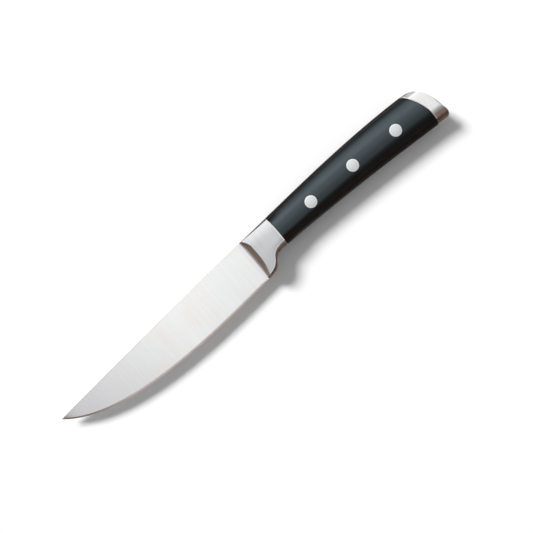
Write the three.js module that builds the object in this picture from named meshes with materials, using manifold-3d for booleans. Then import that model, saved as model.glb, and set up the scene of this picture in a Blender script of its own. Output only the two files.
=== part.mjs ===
// A steak knife with a plain edge, a scooped steel bolster, two riveted black grips and a steel end cap.
//
// X runs along the knife from the tip to the butt, Y from the cutting edge to the spine and Z through its
// thickness. While it is drawn, X is zero at the heel, where the edge passes into the finger guard, Y is zero
// at the height of the tip and Z is zero in the middle plane of the blade. The finished knife lies on its
// right side, on z = 0, with the middle of its outline over the origin. Lengths are in millimetres, angles in
// degrees.
import * as THREE from 'three';
import { mergeVertices } from 'three/addons/utils/BufferGeometryUtils.js';
import Module from 'manifold-3d';

// Blade outline
const BLADE_LENGTH = 115; // from the tip to the heel
const SPINE_RISE = 8.4; // the spine at the heel, above the tip
const SPINE_BOW = 0.3; // how far the spine bulges above a straight line
const HEEL_DROP = 13.4; // the edge at the heel, below the tip
const EDGE_TIP_ANGLE = 42; // the edge leaves the tip downwards at this angle
const EDGE_TIP_PULL = 32; // and keeps that direction over about this length
const EDGE_HEEL_ANGLE = 4.4; // the edge rises towards the heel at this angle
const EDGE_HEEL_PULL = 30;

// Blade grind
const BLANK_THICKNESS = 2.2; // the steel sheet that blade and tang are cut from
const TIP_THICKNESS = 0.8; // the spine at the tip
const SHOULDER_THICKNESS = 0.44; // the flat grind, where the edge bevel starts
const EDGE_THICKNESS = 0.06; // the cutting edge itself
const BEVEL_WIDTH = 1; // the sharpened bevel, seen from the side
const BEVEL_RUNOUT = 6; // the bevel narrows over this length at the heel
const BEVEL_END = 0.05; // to this share of its width
const PLUNGE_COVER = 0.5; // the flat grind runs on under the bolster for this length
const PLUNGE_LENGTH = 1; // and then steps up to the full blank over this length
const SPINE_EASE = 0.25; // the chamfer along the spine
const TIP_BEVEL_SHARE = 1 / 3; // the bevel takes at most this share of the blade's height, towards the tip
const TIP_EASE_SHARE = 1 / 4; // and the chamfer of the spine at most this share

// Handle outline
const HANDLE_LENGTH = 115; // from the heel to the butt
const BACK_ANGLE = 3; // the back rises from above the heel at this angle
const BACK_PULL = 32;
const BUTT_SETBACK = 12; // where the back turns down into the butt, ahead of the butt
const BUTT_RISE = 11.3; // the back there, above the tip
const BUTT_ANGLE = 3.1; // the back falls at this angle there
const BUTT_BACK_PULL = 37;
const BUTT_PULL = 9.7; // how far the butt's curve keeps the direction of the back
const BUTT_FOOT_PULL = 6; // how far it comes down upright to its lower corner
const BUTT_CORNER = 1.5; // radius of the lower corner
const BELLY_DROP = 6.5; // the belly behind the guard, below the tip
const BELLY_PULL = 79;
const BUTT_DROP = 10.1; // the belly at the butt, below the tip
const BUTT_BELLY_PULL = 15.6;

// Handle section
const HANDLE_THICKNESS = 13.5;
const SIDE_FLAT = 5; // the flat along the middle of each side, on which the knife lies
const RIVET_DROP = 0.6; // the line of the rivets, below the middle of the handle
const BACK_FALL = 0.2; // the bolster's sides fall by this much from the flat to their crisp edge at the back
const BELLY_FALL = 0.15; // and by this much to their crisp edge at the belly
const GRIP_BACK_FALL = 2; // the rounder sides of grips and cap fall by this much at the back
const GRIP_BELLY_FALL = 1.4; // and by this much at the belly
const ROUNDING_LENGTH = 8; // behind the bolster the sides grow rounder over this length
const BACK_STRIP_FRONT = 0.2; // the steep strip between the crisp edge and the back, at the heel
const BACK_STRIP_REAR = 1.3; // and from the grips on
const BELLY_STRIP_FRONT = 1.2; // the strip along the belly, likewise
const BELLY_STRIP_REAR = 2.5;
const STRIP_BULGE = 0.3; // how much a strip is bent, from straight at 0 to upright along the outline at 1

// Bolster
const BOLSTER_LENGTH = 18.8; // from the heel to the grips
const BOLSTER_REAR_RADIUS = 55; // the bow of its rear end
const BOLSTER_HEEL_THICKNESS = 10.6; // its sides, carried forward to the heel
const GUARD_SETBACK = 2.3; // the finger guard ends this far ahead of the rear end
const GUARD_HEEL_PULL = 12.8;
const GUARD_BELLY_PULL = 9.3;
const SCOOP_START = 1.4; // the thin lip of the scooped front, behind the heel
const SCOOP_LIP = 0.12; // the height of that lip above the blade
const SCOOP_BULGE = 4.9; // the crease where the scoop meets the side, behind the heel, along the flat
const SCOOP_END = 2.5; // and at the back and the belly
const SCOOP_FILLET_SHARE = 0.6; // the scoop hugs the blade over this share of its length before it climbs

// End cap
const CAP_LENGTH = 6.7; // from the grips to the butt
const CAP_SEAT_RADIUS = 28.2; // the bow of the joint with the grips
const CAP_SEAT_DROP = 6.6; // its rearmost point, below the tip
const CAP_EDGE = 1.2; // the rounding round the butt
const TONGUE_LENGTH = 2.2; // the end of the tang, let into the cap
const TONGUE_HEIGHT = 9;

// Rivets
const RIVET_NAMES = ['front', 'middle', 'rear']; // one for each rivet, from the bolster to the cap
const FRONT_RIVET = 20.3; // the first rivet, behind the bolster
const REAR_RIVET = 18.1; // the last rivet, ahead of the cap
const HEAD_DIAMETER = 6;
const HEAD_DEPTH = 1.8;
const SLEEVE_DIAMETER = 4.2;
const POST_DIAMETER = 3;
const SLEEVE_GAP = 2; // the sleeve stops this far short of the other head
const POST_GAP = 0.6; // the post stops this far short of the bottom of its sleeve

// Clearances
const BOND = 0.05; // the film between the tang and what is fixed to its sides
const JOINT = 0.1; // between the ends of the grips and the steel
const POCKET = 0.1; // round the tongue in the cap
const HOLE = 0.05; // round a rivet, and between post and sleeve

// Fineness of the faceted surfaces
const ROUND_STEPS = 8;
const BOLSTER_STEPS = 14;
const HANDLE_STEPS = 24;
const BLADE_STEPS = 30;
const RUNOUT_STEPS = 12;
const SCOOP_STEPS = 18;
const ARC_STEPS = 24;
const BEVEL_STEPS = 4;
const TURN_STEPS = 32;
const TIP_CROWDING = 1.4; // the sections of the blade stand closer towards the tip
const HEEL_CROWDING = 2; // and those of the run-out closer towards the heel
const HALVINGS = 40;

const wasm = await Module();
wasm.setup();

const halfBlank = BLANK_THICKNESS / 2;
const halfHandle = HANDLE_THICKNESS / 2;
const bondFace = halfBlank + BOND;
const clear = BLADE_LENGTH + HANDLE_LENGTH; // well outside the knife, for the far sides of cutting shapes
const capSeat = HANDLE_LENGTH - CAP_LENGTH;
const plungeEnd = SCOOP_START + PLUNGE_COVER + PLUNGE_LENGTH;

// A closed three.js surface as a solid that can be cut and joined.
function solidOf(geometry) {
  const bare = new THREE.BufferGeometry();
  bare.setAttribute('position', geometry.getAttribute('position'));
  bare.setIndex(geometry.index);
  const merged = mergeVertices(bare);
  const vertProperties = merged.getAttribute('position').array;
  const triVerts = new Uint32Array(merged.index.array);
  return new wasm.Manifold(new wasm.Mesh({ numProp: 3, vertProperties, triVerts }));
}

// A solid back as a three.js surface.
function geometryOf(solid) {
  const mesh = solid.getMesh();
  const geometry = new THREE.BufferGeometry();
  geometry.setAttribute('position', new THREE.BufferAttribute(mesh.vertProperties, 3));
  geometry.setIndex(new THREE.BufferAttribute(mesh.triVerts, 1));
  return geometry;
}

// A smooth line in the side view between two points, with its direction and pull at each end.
function sweep(start, startAngle, startPull, end, endAngle, endPull) {
  const along = (angle, pull) => new THREE.Vector2(
    pull * Math.cos(THREE.MathUtils.degToRad(angle)),
    pull * Math.sin(THREE.MathUtils.degToRad(angle)),
  );
  const leave = start.clone().add(along(startAngle, startPull));
  const arrive = end.clone().sub(along(endAngle, endPull));
  return new THREE.CubicBezierCurve(start, leave, arrive, end);
}

// The height of such a line at a place along the knife, found by halving.
function heightOn(line, x) {
  let before = 0;
  let after = 1;
  for (let halving = 0; halving < HALVINGS; halving += 1) {
    const middle = (before + after) / 2;
    if (line.getPoint(middle).x < x) before = middle;
    else after = middle;
  }
  return line.getPoint(before).y;
}

// A smooth step from 0 to 1 as a place moves from one end of a stretch to the other.
const fade = (x, from, to) => THREE.MathUtils.smoothstep(x, from, to);

// Lines of the side view
const tip = new THREE.Vector2(-BLADE_LENGTH, 0);
const spineHeel = new THREE.Vector2(0, SPINE_RISE);
const edgeHeel = new THREE.Vector2(0, -HEEL_DROP);
const bellyStart = new THREE.Vector2(0, -BELLY_DROP);
const buttTop = new THREE.Vector2(HANDLE_LENGTH - BUTT_SETBACK, BUTT_RISE);
const buttFoot = new THREE.Vector2(HANDLE_LENGTH, BUTT_CORNER - BUTT_DROP);
const buttBelly = new THREE.Vector2(HANDLE_LENGTH, -BUTT_DROP);
const guardEnd = BOLSTER_LENGTH - GUARD_SETBACK;

const edgeLine = sweep(tip, -EDGE_TIP_ANGLE, EDGE_TIP_PULL, edgeHeel, EDGE_HEEL_ANGLE, EDGE_HEEL_PULL);
const backLine = sweep(spineHeel, BACK_ANGLE, BACK_PULL, buttTop, -BUTT_ANGLE, BUTT_BACK_PULL);
const bellyLine = sweep(bellyStart, 0, BELLY_PULL, buttBelly, 0, BUTT_BELLY_PULL);
const guardRear = new THREE.Vector2(guardEnd, heightOn(bellyLine, guardEnd));
const guardLine = sweep(edgeHeel, 0, GUARD_HEEL_PULL, guardRear, 0, GUARD_BELLY_PULL);
const buttLine = sweep(buttTop, -BUTT_ANGLE, BUTT_PULL, buttFoot, -90, BUTT_FOOT_PULL);

// The spine: a straight rise to the heel with a slight bow.
function spineAt(x) {
  const share = (x + BLADE_LENGTH) / BLADE_LENGTH;
  return SPINE_RISE * share + 4 * SPINE_BOW * share * (1 - share);
}

// The back of the handle: past the start of the butt it keeps its direction, for the cap to be cut from.
function backAt(x) {
  if (x <= buttTop.x) return heightOn(backLine, x);
  return buttTop.y - (x - buttTop.x) * Math.tan(THREE.MathUtils.degToRad(BUTT_ANGLE));
}

const bellyAt = (x) => heightOn(x < guardEnd ? guardLine : bellyLine, x);

// The line that the rivets and the flat of each side follow, which runs on straight above the guard.
const rivetLineAt = (x) => (backAt(x) + heightOn(bellyLine, x)) / 2 - RIVET_DROP;

// Half the thickness of the handle: the bolster swells from the heel and is level where the grips start.
function halfThicknessAt(x) {
  const ahead = Math.max(0, 1 - x / BOLSTER_LENGTH);
  return halfHandle - (halfHandle - BOLSTER_HEEL_THICKNESS / 2) * ahead ** 2;
}

// A skin through rings of points, closed by a fan to a point at each end.
function loft(rings, first, last) {
  const count = rings[0].length;
  const points = [...rings.flat(), first, last];
  const firstIndex = points.length - 2;
  const lastIndex = points.length - 1;
  const lastRing = (rings.length - 1) * count;
  const faces = [];
  for (let i = 0; i < count; i += 1) {
    const next = (i + 1) % count;
    faces.push(firstIndex, next, i, lastIndex, lastRing + i, lastRing + next);
    for (let ring = 0; ring < lastRing; ring += count) {
      faces.push(ring + i, ring + next, ring + count + i);
      faces.push(ring + next, ring + count + next, ring + count + i);
    }
  }
  const geometry = new THREE.BufferGeometry().setFromPoints(points);
  geometry.setIndex(faces);
  return solidOf(geometry);
}

// The middle of a ring of points.
function middleOf(ring) {
  const sum = ring.reduce((total, point) => total.add(point), new THREE.Vector3());
  return sum.divideScalar(ring.length);
}

// A flat outline made into a plate between two heights.
function plate(shape, low, high) {
  const geometry = new THREE.ExtrudeGeometry(shape, {
    depth: high - low,
    bevelEnabled: false,
    curveSegments: ARC_STEPS,
  });
  return solidOf(geometry.translate(0, 0, low));
}

// A plain block between two corners.
function block(low, high) {
  const size = new THREE.Vector3().subVectors(high, low);
  const centre = new THREE.Vector3().addVectors(low, high).divideScalar(2);
  return solidOf(new THREE.BoxGeometry(size.x, size.y, size.z).translate(centre.x, centre.y, centre.z));
}

// A piece turned about the upright axis through a rivet, from its profile of radius and height.
function turned(profile, place) {
  const points = profile.map(([radius, height]) => new THREE.Vector2(radius, height));
  const geometry = new THREE.LatheGeometry(points, TURN_STEPS);
  return solidOf(geometry.rotateX(Math.PI / 2).translate(place.x, place.y, 0));
}

// Adds to an outline the bow of a joint across the handle, from belly to back or the other way round.
function bow(shape, centre, radius, upwards) {
  const span = Math.asin(Math.min(1, (BUTT_RISE + BUTT_DROP) / radius));
  shape.absarc(centre.x, centre.y, radius, upwards ? -span : span, upwards ? span : -span, !upwards);
}

// The outline of all that lies ahead of such a bow.
function aheadOf(centre, radius) {
  const shape = new THREE.Shape();
  shape.moveTo(-clear, clear);
  shape.lineTo(-clear, -clear);
  bow(shape, centre, radius, true);
  return shape;
}

const bolsterCentre = new THREE.Vector2(BOLSTER_LENGTH - BOLSTER_REAR_RADIUS, rivetLineAt(BOLSTER_LENGTH));
const capCentre = new THREE.Vector2(capSeat - CAP_SEAT_RADIUS, -CAP_SEAT_DROP);

// Places along the handle where its section is drawn, closer together along the bolster.
const places = [];
for (let i = 0; i <= BOLSTER_STEPS; i += 1) places.push((BOLSTER_LENGTH * i) / BOLSTER_STEPS);
const restOfHandle = HANDLE_LENGTH + CAP_EDGE - BOLSTER_LENGTH;
for (let i = 1; i <= HANDLE_STEPS; i += 1) places.push(BOLSTER_LENGTH + (restOfHandle * i) / HANDLE_STEPS);

// One flank of the section, in steps from the outline to the flat, each with its distance from the outline
// and its height above the blank: a steep strip up to a crisp edge and then a gentle crown.
function flank(x, width, strip, fall) {
  const rise = halfThicknessAt(x) - halfBlank;
  const steps = [];
  for (let step = 0; step <= ROUND_STEPS; step += 1) {
    const upStrip = Math.min(1, (2 * step) / ROUND_STEPS);
    const toFlat = Math.min(1, 2 - (2 * step) / ROUND_STEPS);
    const stripIn = strip * upStrip * (1 - STRIP_BULGE * (1 - upStrip));
    const stripUp = (rise - fall) * upStrip;
    steps.push(new THREE.Vector2(
      stripIn + (width - strip) * (1 - toFlat),
      stripUp + fall * (1 - toFlat ** 2),
    ));
  }
  return steps;
}

// The section of the handle at a place: each side is a flat with a flank down to the blank at the back and
// another at the belly, and the edge of the blank shows between the two sides.
function handleSection(x) {
  const back = backAt(x);
  const belly = bellyAt(x);
  const flatMiddle = rivetLineAt(x);
  const share = Math.min(1, x / BOLSTER_LENGTH);
  const backStrip = THREE.MathUtils.lerp(BACK_STRIP_FRONT, BACK_STRIP_REAR, share);
  const bellyStrip = THREE.MathUtils.lerp(BELLY_STRIP_FRONT, BELLY_STRIP_REAR, share);
  const rounding = fade(x, BOLSTER_LENGTH, BOLSTER_LENGTH + ROUNDING_LENGTH);
  const backFall = THREE.MathUtils.lerp(BACK_FALL, GRIP_BACK_FALL, rounding);
  const bellyFall = THREE.MathUtils.lerp(BELLY_FALL, GRIP_BELLY_FALL, rounding);
  const backSteps = flank(x, back - flatMiddle - SIDE_FLAT / 2, backStrip, backFall);
  const bellySteps = flank(x, flatMiddle - SIDE_FLAT / 2 - belly, bellyStrip, bellyFall);
  const side = [
    ...backSteps.map((step) => [back - step.x, halfBlank + step.y]),
    ...bellySteps.reverse().map((step) => [belly + step.x, halfBlank + step.y]),
  ];
  const left = side.map(([y, z]) => new THREE.Vector3(x, y, z));
  const right = side.map(([y, z]) => new THREE.Vector3(x, y, -z));
  return [...left, ...right.reverse()];
}

const handleRings = places.map(handleSection);
const handleForm = loft(handleRings, middleOf(handleRings[0]), middleOf(handleRings.at(-1)));

// The lines and half thicknesses of the blade's section: an eased spine, a flat grind down to the shoulder
// and the edge bevel below it. At the heel the bevel narrows away, and under the bolster the grind steps up
// to the full thickness of the blank.
function grindAt(x) {
  const inHandle = x >= 0;
  const spine = inHandle ? backAt(x) : spineAt(x);
  const edge = inHandle ? bellyAt(x) : heightOn(edgeLine, x);
  const height = spine - edge;
  const share = Math.min(1, (x + BLADE_LENGTH) / BLADE_LENGTH);
  const spineHalf = THREE.MathUtils.lerp(TIP_THICKNESS / 2, halfBlank, share);
  const plunge = fade(x, plungeEnd - PLUNGE_LENGTH, plungeEnd);
  const runout = THREE.MathUtils.clamp(1 + (x - SCOOP_START) / BEVEL_RUNOUT, 0, 1);
  const bevelShare = Math.max(BEVEL_END, Math.sqrt(1 - runout ** 2));
  const shoulderHalf = THREE.MathUtils.lerp(SHOULDER_THICKNESS / 2, halfBlank, plunge);
  const edgeHalf = THREE.MathUtils.lerp(shoulderHalf, EDGE_THICKNESS / 2, bevelShare);
  const ease = Math.min(SPINE_EASE, height * TIP_EASE_SHARE) * (1 - plunge);
  const bevel = Math.min(BEVEL_WIDTH, height * TIP_BEVEL_SHARE) * bevelShare;
  return { spine, edge, shoulder: edge + bevel, ease, spineHalf, shoulderHalf, edgeHalf };
}

// The left half of that section, down to the middle plane.
function bladeHalf(x) {
  const grind = grindAt(x);
  const left = [
    [grind.spine, 0],
    [grind.spine, grind.spineHalf - grind.ease],
    [grind.spine - grind.ease, grind.spineHalf],
    [grind.shoulder, grind.shoulderHalf],
    [grind.edge, grind.edgeHalf],
    [grind.edge, 0],
  ];
  return left.map(([y, z]) => new THREE.Vector3(x, y, z));
}

// Places at the heel where the blade's section is drawn, from the start of the bevel's run-out to the end of
// the plunge.
const runoutStart = SCOOP_START - BEVEL_RUNOUT;
const heelPlaces = [];
for (let i = 1; i <= RUNOUT_STEPS; i += 1) {
  heelPlaces.push(plungeEnd - (plungeEnd - runoutStart) * (1 - i / RUNOUT_STEPS) ** HEEL_CROWDING);
}

// Blade and full tang: one blank, with holes for the rivets and a tongue that goes into the cap.
function bladeAndTang() {
  const rings = [];
  for (let i = 1; i <= BLADE_STEPS; i += 1) {
    const share = (i / BLADE_STEPS) ** TIP_CROWDING;
    rings.push(bladeHalf(-BLADE_LENGTH + (runoutStart + BLADE_LENGTH) * share));
  }
  rings.push(...heelPlaces.map(bladeHalf));
  // The blade runs on into the tang as far as the second section of the handle behind the plunge.
  const tangPlaces = places.filter((x) => x > plungeEnd);
  rings.push(bladeHalf(tangPlaces[0]), bladeHalf(tangPlaces[1]));
  const leftHalf = loft(rings, new THREE.Vector3(tip.x, tip.y, 0), middleOf(rings.at(-1)));
  const blade = leftHalf.add(leftHalf.mirror([0, 0, 1]));

  const below = tangPlaces.map((x) => new THREE.Vector2(x, bellyAt(x)));
  const above = tangPlaces.map((x) => new THREE.Vector2(x, backAt(x)));
  const outline = new THREE.Shape([...below, ...above.reverse()]);
  const ahead = aheadOf(capCentre, CAP_SEAT_RADIUS - JOINT);
  const tangPlate = plate(outline, -halfBlank, halfBlank).intersect(plate(ahead, -clear, clear));

  const { low, high } = tongueCorners(0);
  let blank = blade.add(tangPlate).add(block(low, high));
  for (const place of rivetPlaces) blank = blank.subtract(drill(place, SLEEVE_DIAMETER, -clear, clear));
  return blank;
}

// Opposite corners of the tongue, with a clearance round it.
function tongueCorners(room) {
  const middle = rivetLineAt(capSeat);
  const half = new THREE.Vector2(TONGUE_HEIGHT / 2 + room, halfBlank + room);
  const low = new THREE.Vector3(capSeat - CAP_LENGTH, middle - half.x, -half.y);
  const high = new THREE.Vector3(capSeat + TONGUE_LENGTH + room, middle + half.x, half.y);
  return { low, high };
}

// A round hole for a rivet between two heights.
function drill(place, diameter, low, high) {
  const hole = new THREE.CylinderGeometry(diameter / 2 + HOLE, diameter / 2 + HOLE, high - low, TURN_STEPS);
  hole.rotateX(Math.PI / 2).translate(place.x, place.y, (low + high) / 2);
  return solidOf(hole);
}

// Rivets evenly spaced between the first and the last.
const firstRivet = BOLSTER_LENGTH + FRONT_RIVET;
const rivetStep = (capSeat - REAR_RIVET - firstRivet) / (RIVET_NAMES.length - 1);
const rivetPlaces = RIVET_NAMES.map((name, i) => {
  const x = firstRivet + rivetStep * i;
  return new THREE.Vector2(x, rivetLineAt(x));
});
const headSeat = halfHandle - HEAD_DEPTH;

// Where the scooped front meets the side of the bolster, at a height of the side view: furthest back along
// the flat and curving forward to the back and to the belly.
function creaseAt(y) {
  const flatTop = rivetLineAt(0) + SIDE_FLAT / 2;
  const flatFoot = flatTop - SIDE_FLAT;
  const towardsBack = (y - flatTop) / (spineHeel.y - flatTop);
  const towardsBelly = (flatFoot - y) / (flatFoot - edgeHeel.y);
  const out = THREE.MathUtils.clamp(Math.max(towardsBack, towardsBelly), 0, 1);
  return THREE.MathUtils.lerp(SCOOP_BULGE, SCOOP_END, out ** 2);
}

// All that lies behind the scooped front, as a skin through outlines that stand across the knife: each leaves
// the blade's ground side level at the thin lip, climbs in a hollow curve to the crease and goes straight on
// above it.
function behindScoop() {
  const grind = grindAt(SCOOP_START);
  const groundTop = grind.spine - grind.ease;
  const rings = [];
  for (let step = 0; step <= SCOOP_STEPS; step += 1) {
    const y = THREE.MathUtils.lerp(edgeHeel.y - SCOOP_END, spineHeel.y + SCOOP_END, step / SCOOP_STEPS);
    const down = THREE.MathUtils.clamp((groundTop - y) / (groundTop - grind.shoulder), 0, 1);
    const ground = THREE.MathUtils.lerp(grind.spineHalf, grind.shoulderHalf, down);
    const lip = new THREE.Vector2(SCOOP_START, ground + SCOOP_LIP);
    const crease = new THREE.Vector2(creaseAt(y), halfThicknessAt(SCOOP_BULGE));
    const bend = new THREE.Vector2(THREE.MathUtils.lerp(lip.x, crease.x, SCOOP_FILLET_SHARE), lip.y);
    const hollow = new THREE.QuadraticBezierCurve(lip, bend, crease);
    const above = crease.clone().add(crease.clone().sub(bend).multiplyScalar(2));
    const outline = [
      new THREE.Vector2(clear, 0),
      new THREE.Vector2(lip.x, 0),
      ...hollow.getPoints(ROUND_STEPS),
      above,
      new THREE.Vector2(clear, above.y),
    ];
    rings.push(outline.map((point) => new THREE.Vector3(point.x, y, point.y)));
  }
  return loft(rings, middleOf(rings[0]), middleOf(rings.at(-1)));
}

// All that lies below the seat of a bolster cheek: the blank's ground side with the film on it, carried on
// past the back and the belly.
function belowSeat() {
  const seatSection = (x) => {
    const grind = grindAt(Math.min(x, plungeEnd));
    const seat = [
      [clear, grind.spineHalf + BOND],
      [grind.spine - grind.ease, grind.spineHalf + BOND],
      [grind.shoulder, grind.shoulderHalf + BOND],
      [-clear, grind.shoulderHalf + BOND],
      [-clear, -clear],
      [clear, -clear],
    ];
    return seat.map(([y, z]) => new THREE.Vector3(x, y, z));
  };
  const rings = [...heelPlaces, clear].map(seatSection);
  return loft(rings, middleOf(rings[0]), middleOf(rings.at(-1)));
}

// A bolster cheek: the handle's form between the scooped front and the bowed rear end, seated on the blank.
function bolsterCheek(side) {
  const ahead = aheadOf(bolsterCentre, BOLSTER_REAR_RADIUS);
  const left = handleForm
    .intersect(plate(ahead, -clear, clear))
    .intersect(behindScoop())
    .subtract(belowSeat());
  return side > 0 ? left : left.mirror([0, 0, 1]);
}

// A grip: the handle's form between bolster and cap, on one side of the tang, bored and counterbored.
function grip(side) {
  const between = new THREE.Shape();
  bow(between, bolsterCentre, BOLSTER_REAR_RADIUS + JOINT, false);
  bow(between, capCentre, CAP_SEAT_RADIUS - JOINT, true);
  let left = handleForm.intersect(plate(between, bondFace, clear));
  for (const place of rivetPlaces) {
    left = left.subtract(drill(place, SLEEVE_DIAMETER, -clear, clear));
    left = left.subtract(drill(place, HEAD_DIAMETER, headSeat - HOLE, clear));
  }
  return side > 0 ? left : left.mirror([0, 0, 1]);
}

// The end cap: the handle's form behind its bowed seat, cut to the butt's curve with a rounded rim, with a
// pocket for the tongue of the tang.
function endCap() {
  const front = buttTop.x - clear;
  const butt = new THREE.Shape();
  butt.moveTo(front, buttTop.y + clear * Math.tan(THREE.MathUtils.degToRad(BUTT_ANGLE)));
  butt.lineTo(buttTop.x, buttTop.y);
  butt.bezierCurveTo(buttLine.v1.x, buttLine.v1.y, buttLine.v2.x, buttLine.v2.y, buttFoot.x, buttFoot.y);
  butt.absarc(buttFoot.x - BUTT_CORNER, buttFoot.y, BUTT_CORNER, 0, -Math.PI / 2, true);
  butt.lineTo(front, -BUTT_DROP);
  const rounded = new THREE.ExtrudeGeometry(butt, {
    depth: HANDLE_THICKNESS - 2 * CAP_EDGE,
    bevelEnabled: true,
    bevelThickness: CAP_EDGE,
    bevelSize: CAP_EDGE,
    bevelOffset: -CAP_EDGE,
    bevelSegments: BEVEL_STEPS,
    curveSegments: ARC_STEPS,
  });
  rounded.translate(0, 0, CAP_EDGE - halfHandle);

  const ahead = aheadOf(capCentre, CAP_SEAT_RADIUS);
  const { low, high } = tongueCorners(POCKET);
  return handleForm
    .intersect(solidOf(rounded))
    .subtract(plate(ahead, -clear, clear))
    .subtract(block(low, high));
}

// A rivet comes in two halves, pressed together from both sides: a post in a sleeve. Their heads are ground
// off level with the grips.
function rivetPost(place) {
  const end = POST_GAP - headSeat;
  const post = turned([
    [0, end],
    [POST_DIAMETER / 2, end],
    [POST_DIAMETER / 2, headSeat],
    [HEAD_DIAMETER / 2, headSeat],
    [HEAD_DIAMETER / 2, HANDLE_THICKNESS],
    [0, HANDLE_THICKNESS],
  ], place);
  return post.intersect(handleForm);
}

function rivetSleeve(place) {
  const bore = POST_DIAMETER / 2 + HOLE;
  const mouth = headSeat - SLEEVE_GAP;
  const sleeve = turned([
    [0, -HANDLE_THICKNESS],
    [HEAD_DIAMETER / 2, -HANDLE_THICKNESS],
    [HEAD_DIAMETER / 2, -headSeat],
    [SLEEVE_DIAMETER / 2, -headSeat],
    [SLEEVE_DIAMETER / 2, mouth],
    [bore, mouth],
    [bore, -headSeat],
    [0, -headSeat],
  ], place);
  return sleeve.intersect(handleForm);
}

const bladeSteel = new THREE.MeshStandardMaterial({ color: '#d3d5d6', roughness: 0.32, metalness: 1 });
const bolsterSteel = new THREE.MeshStandardMaterial({ color: '#cfccc9', roughness: 0.26, metalness: 1 });
const rivetSteel = new THREE.MeshStandardMaterial({ color: '#d6d6d4', roughness: 0.3, metalness: 1 });
const blackGrip = new THREE.MeshStandardMaterial({ color: '#15171a', roughness: 0.42, metalness: 0 });

const pieces = new THREE.Group();

// Names a finished solid and adds it to the knife.
function add(name, solid, material) {
  const mesh = new THREE.Mesh(geometryOf(solid), material);
  mesh.name = name;
  pieces.add(mesh);
}

add('blade_and_tang', bladeAndTang(), bladeSteel);
add('bolster_left', bolsterCheek(1), bolsterSteel);
add('bolster_right', bolsterCheek(-1), bolsterSteel);
add('grip_left', grip(1), blackGrip);
add('grip_right', grip(-1), blackGrip);
add('end_cap', endCap(), bolsterSteel);
rivetPlaces.forEach((place, i) => {
  add(`rivet_${RIVET_NAMES[i]}_post`, rivetPost(place), rivetSteel);
  add(`rivet_${RIVET_NAMES[i]}_sleeve`, rivetSleeve(place), rivetSteel);
});

// Lays the knife on z = 0 with the middle of its outline over the origin.
const outer = new THREE.Box3().setFromObject(pieces);
const middle = outer.getCenter(new THREE.Vector3());
pieces.position.set(-middle.x, -middle.y, -outer.min.z);
const knife = new THREE.Group();
knife.add(pieces);

export default knife;
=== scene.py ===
"""Fine surfaces and finishes for a steak knife with a scooped bolster and riveted black grips.

The file is laid out as an add-on and run as a script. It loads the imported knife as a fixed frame, makes
one fine surface for each of its pieces and lays the knife on a pale table under soft light.

Shapes are drawn in the knife's side view: x runs from the tip to the butt and is zero at the heel, where
the edge passes into the finger guard, y runs from the edge to the spine and is zero at the tip's height,
and z is zero in the middle plane of the blade.
"""

import math

import bmesh
import bpy
import numpy as np
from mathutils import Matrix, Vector


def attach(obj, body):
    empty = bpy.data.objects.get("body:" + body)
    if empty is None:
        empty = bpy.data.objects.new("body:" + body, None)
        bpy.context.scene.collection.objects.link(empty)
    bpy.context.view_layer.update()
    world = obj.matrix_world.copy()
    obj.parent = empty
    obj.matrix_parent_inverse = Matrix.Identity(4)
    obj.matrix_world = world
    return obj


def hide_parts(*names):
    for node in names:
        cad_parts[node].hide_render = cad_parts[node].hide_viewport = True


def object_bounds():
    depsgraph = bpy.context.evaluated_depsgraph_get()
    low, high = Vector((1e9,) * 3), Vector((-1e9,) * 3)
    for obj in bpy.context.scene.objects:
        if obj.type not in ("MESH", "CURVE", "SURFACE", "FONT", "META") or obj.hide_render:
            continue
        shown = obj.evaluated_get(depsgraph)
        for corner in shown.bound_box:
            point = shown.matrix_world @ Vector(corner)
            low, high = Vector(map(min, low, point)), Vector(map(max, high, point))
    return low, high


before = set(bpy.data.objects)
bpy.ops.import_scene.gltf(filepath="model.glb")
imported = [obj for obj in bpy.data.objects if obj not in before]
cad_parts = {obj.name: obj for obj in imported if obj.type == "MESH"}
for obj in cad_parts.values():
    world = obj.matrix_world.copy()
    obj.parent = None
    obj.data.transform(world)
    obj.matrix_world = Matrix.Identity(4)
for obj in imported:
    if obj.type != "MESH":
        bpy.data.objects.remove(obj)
cad_low, cad_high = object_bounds()

bl_info = {
    "name": "Steak Knife Looks",
    "version": (1, 0, 0),
    "blender": (4, 5, 0),
    "location": "View3D > Sidebar > Knife",
    "description": "Fine surfaces, finishes and a photo table for a riveted steak knife",
    "category": "Add Mesh",
}

MM = 0.001
BODY = "root"
RIVET_NAMES = ("front", "middle", "rear")

# Fineness of the surfaces
LINE_POINTS = 4000
SOLVE_STEPS = 40
ROUND_SHARE = 0.44
SIDE_ROWS = 101
BLADE_ROWS = 25
BLADE_COLUMNS = 180
TANG_COLUMNS = 90
PLUNGE_COLUMNS = 40
SCOOP_COLUMNS = 26
CHEEK_COLUMNS = 70
GRIP_COLUMNS = 150
EASE_COLUMNS = 6
CAP_ROWS = 200
CAP_COLUMNS = 70
TURN_STEPS = 96
ROUND_STEPS = 8
TIP_CROWDING = 1.6
OUTLINE_POINTS = LINE_POINTS // 8
OUTLINE_STRIDE = LINE_POINTS // 800
MERGE_DISTANCE = 1e-7

# Stretches of the blade, from the tip or back from the bolster, where its colour and its painted reflection
# and shade change
TIP_GREY = (16 * MM, 72 * MM)
# Over this stretch the bevel's painted reflection turns from dark brown at the tip to pink
TIP_BEVEL_REFLECTION = (6 * MM, 34 * MM)
# Painted shade: the blade turns greyer over this stretch back from the bolster, where the two meet
BOLSTER_SHADE_BAND = (1.8 * MM, 1.3 * MM)
# Share of the bevel's pink painted reflection laid on the eased spine
SPINE_PAINTED_REFLECTION = 0.35
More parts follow.
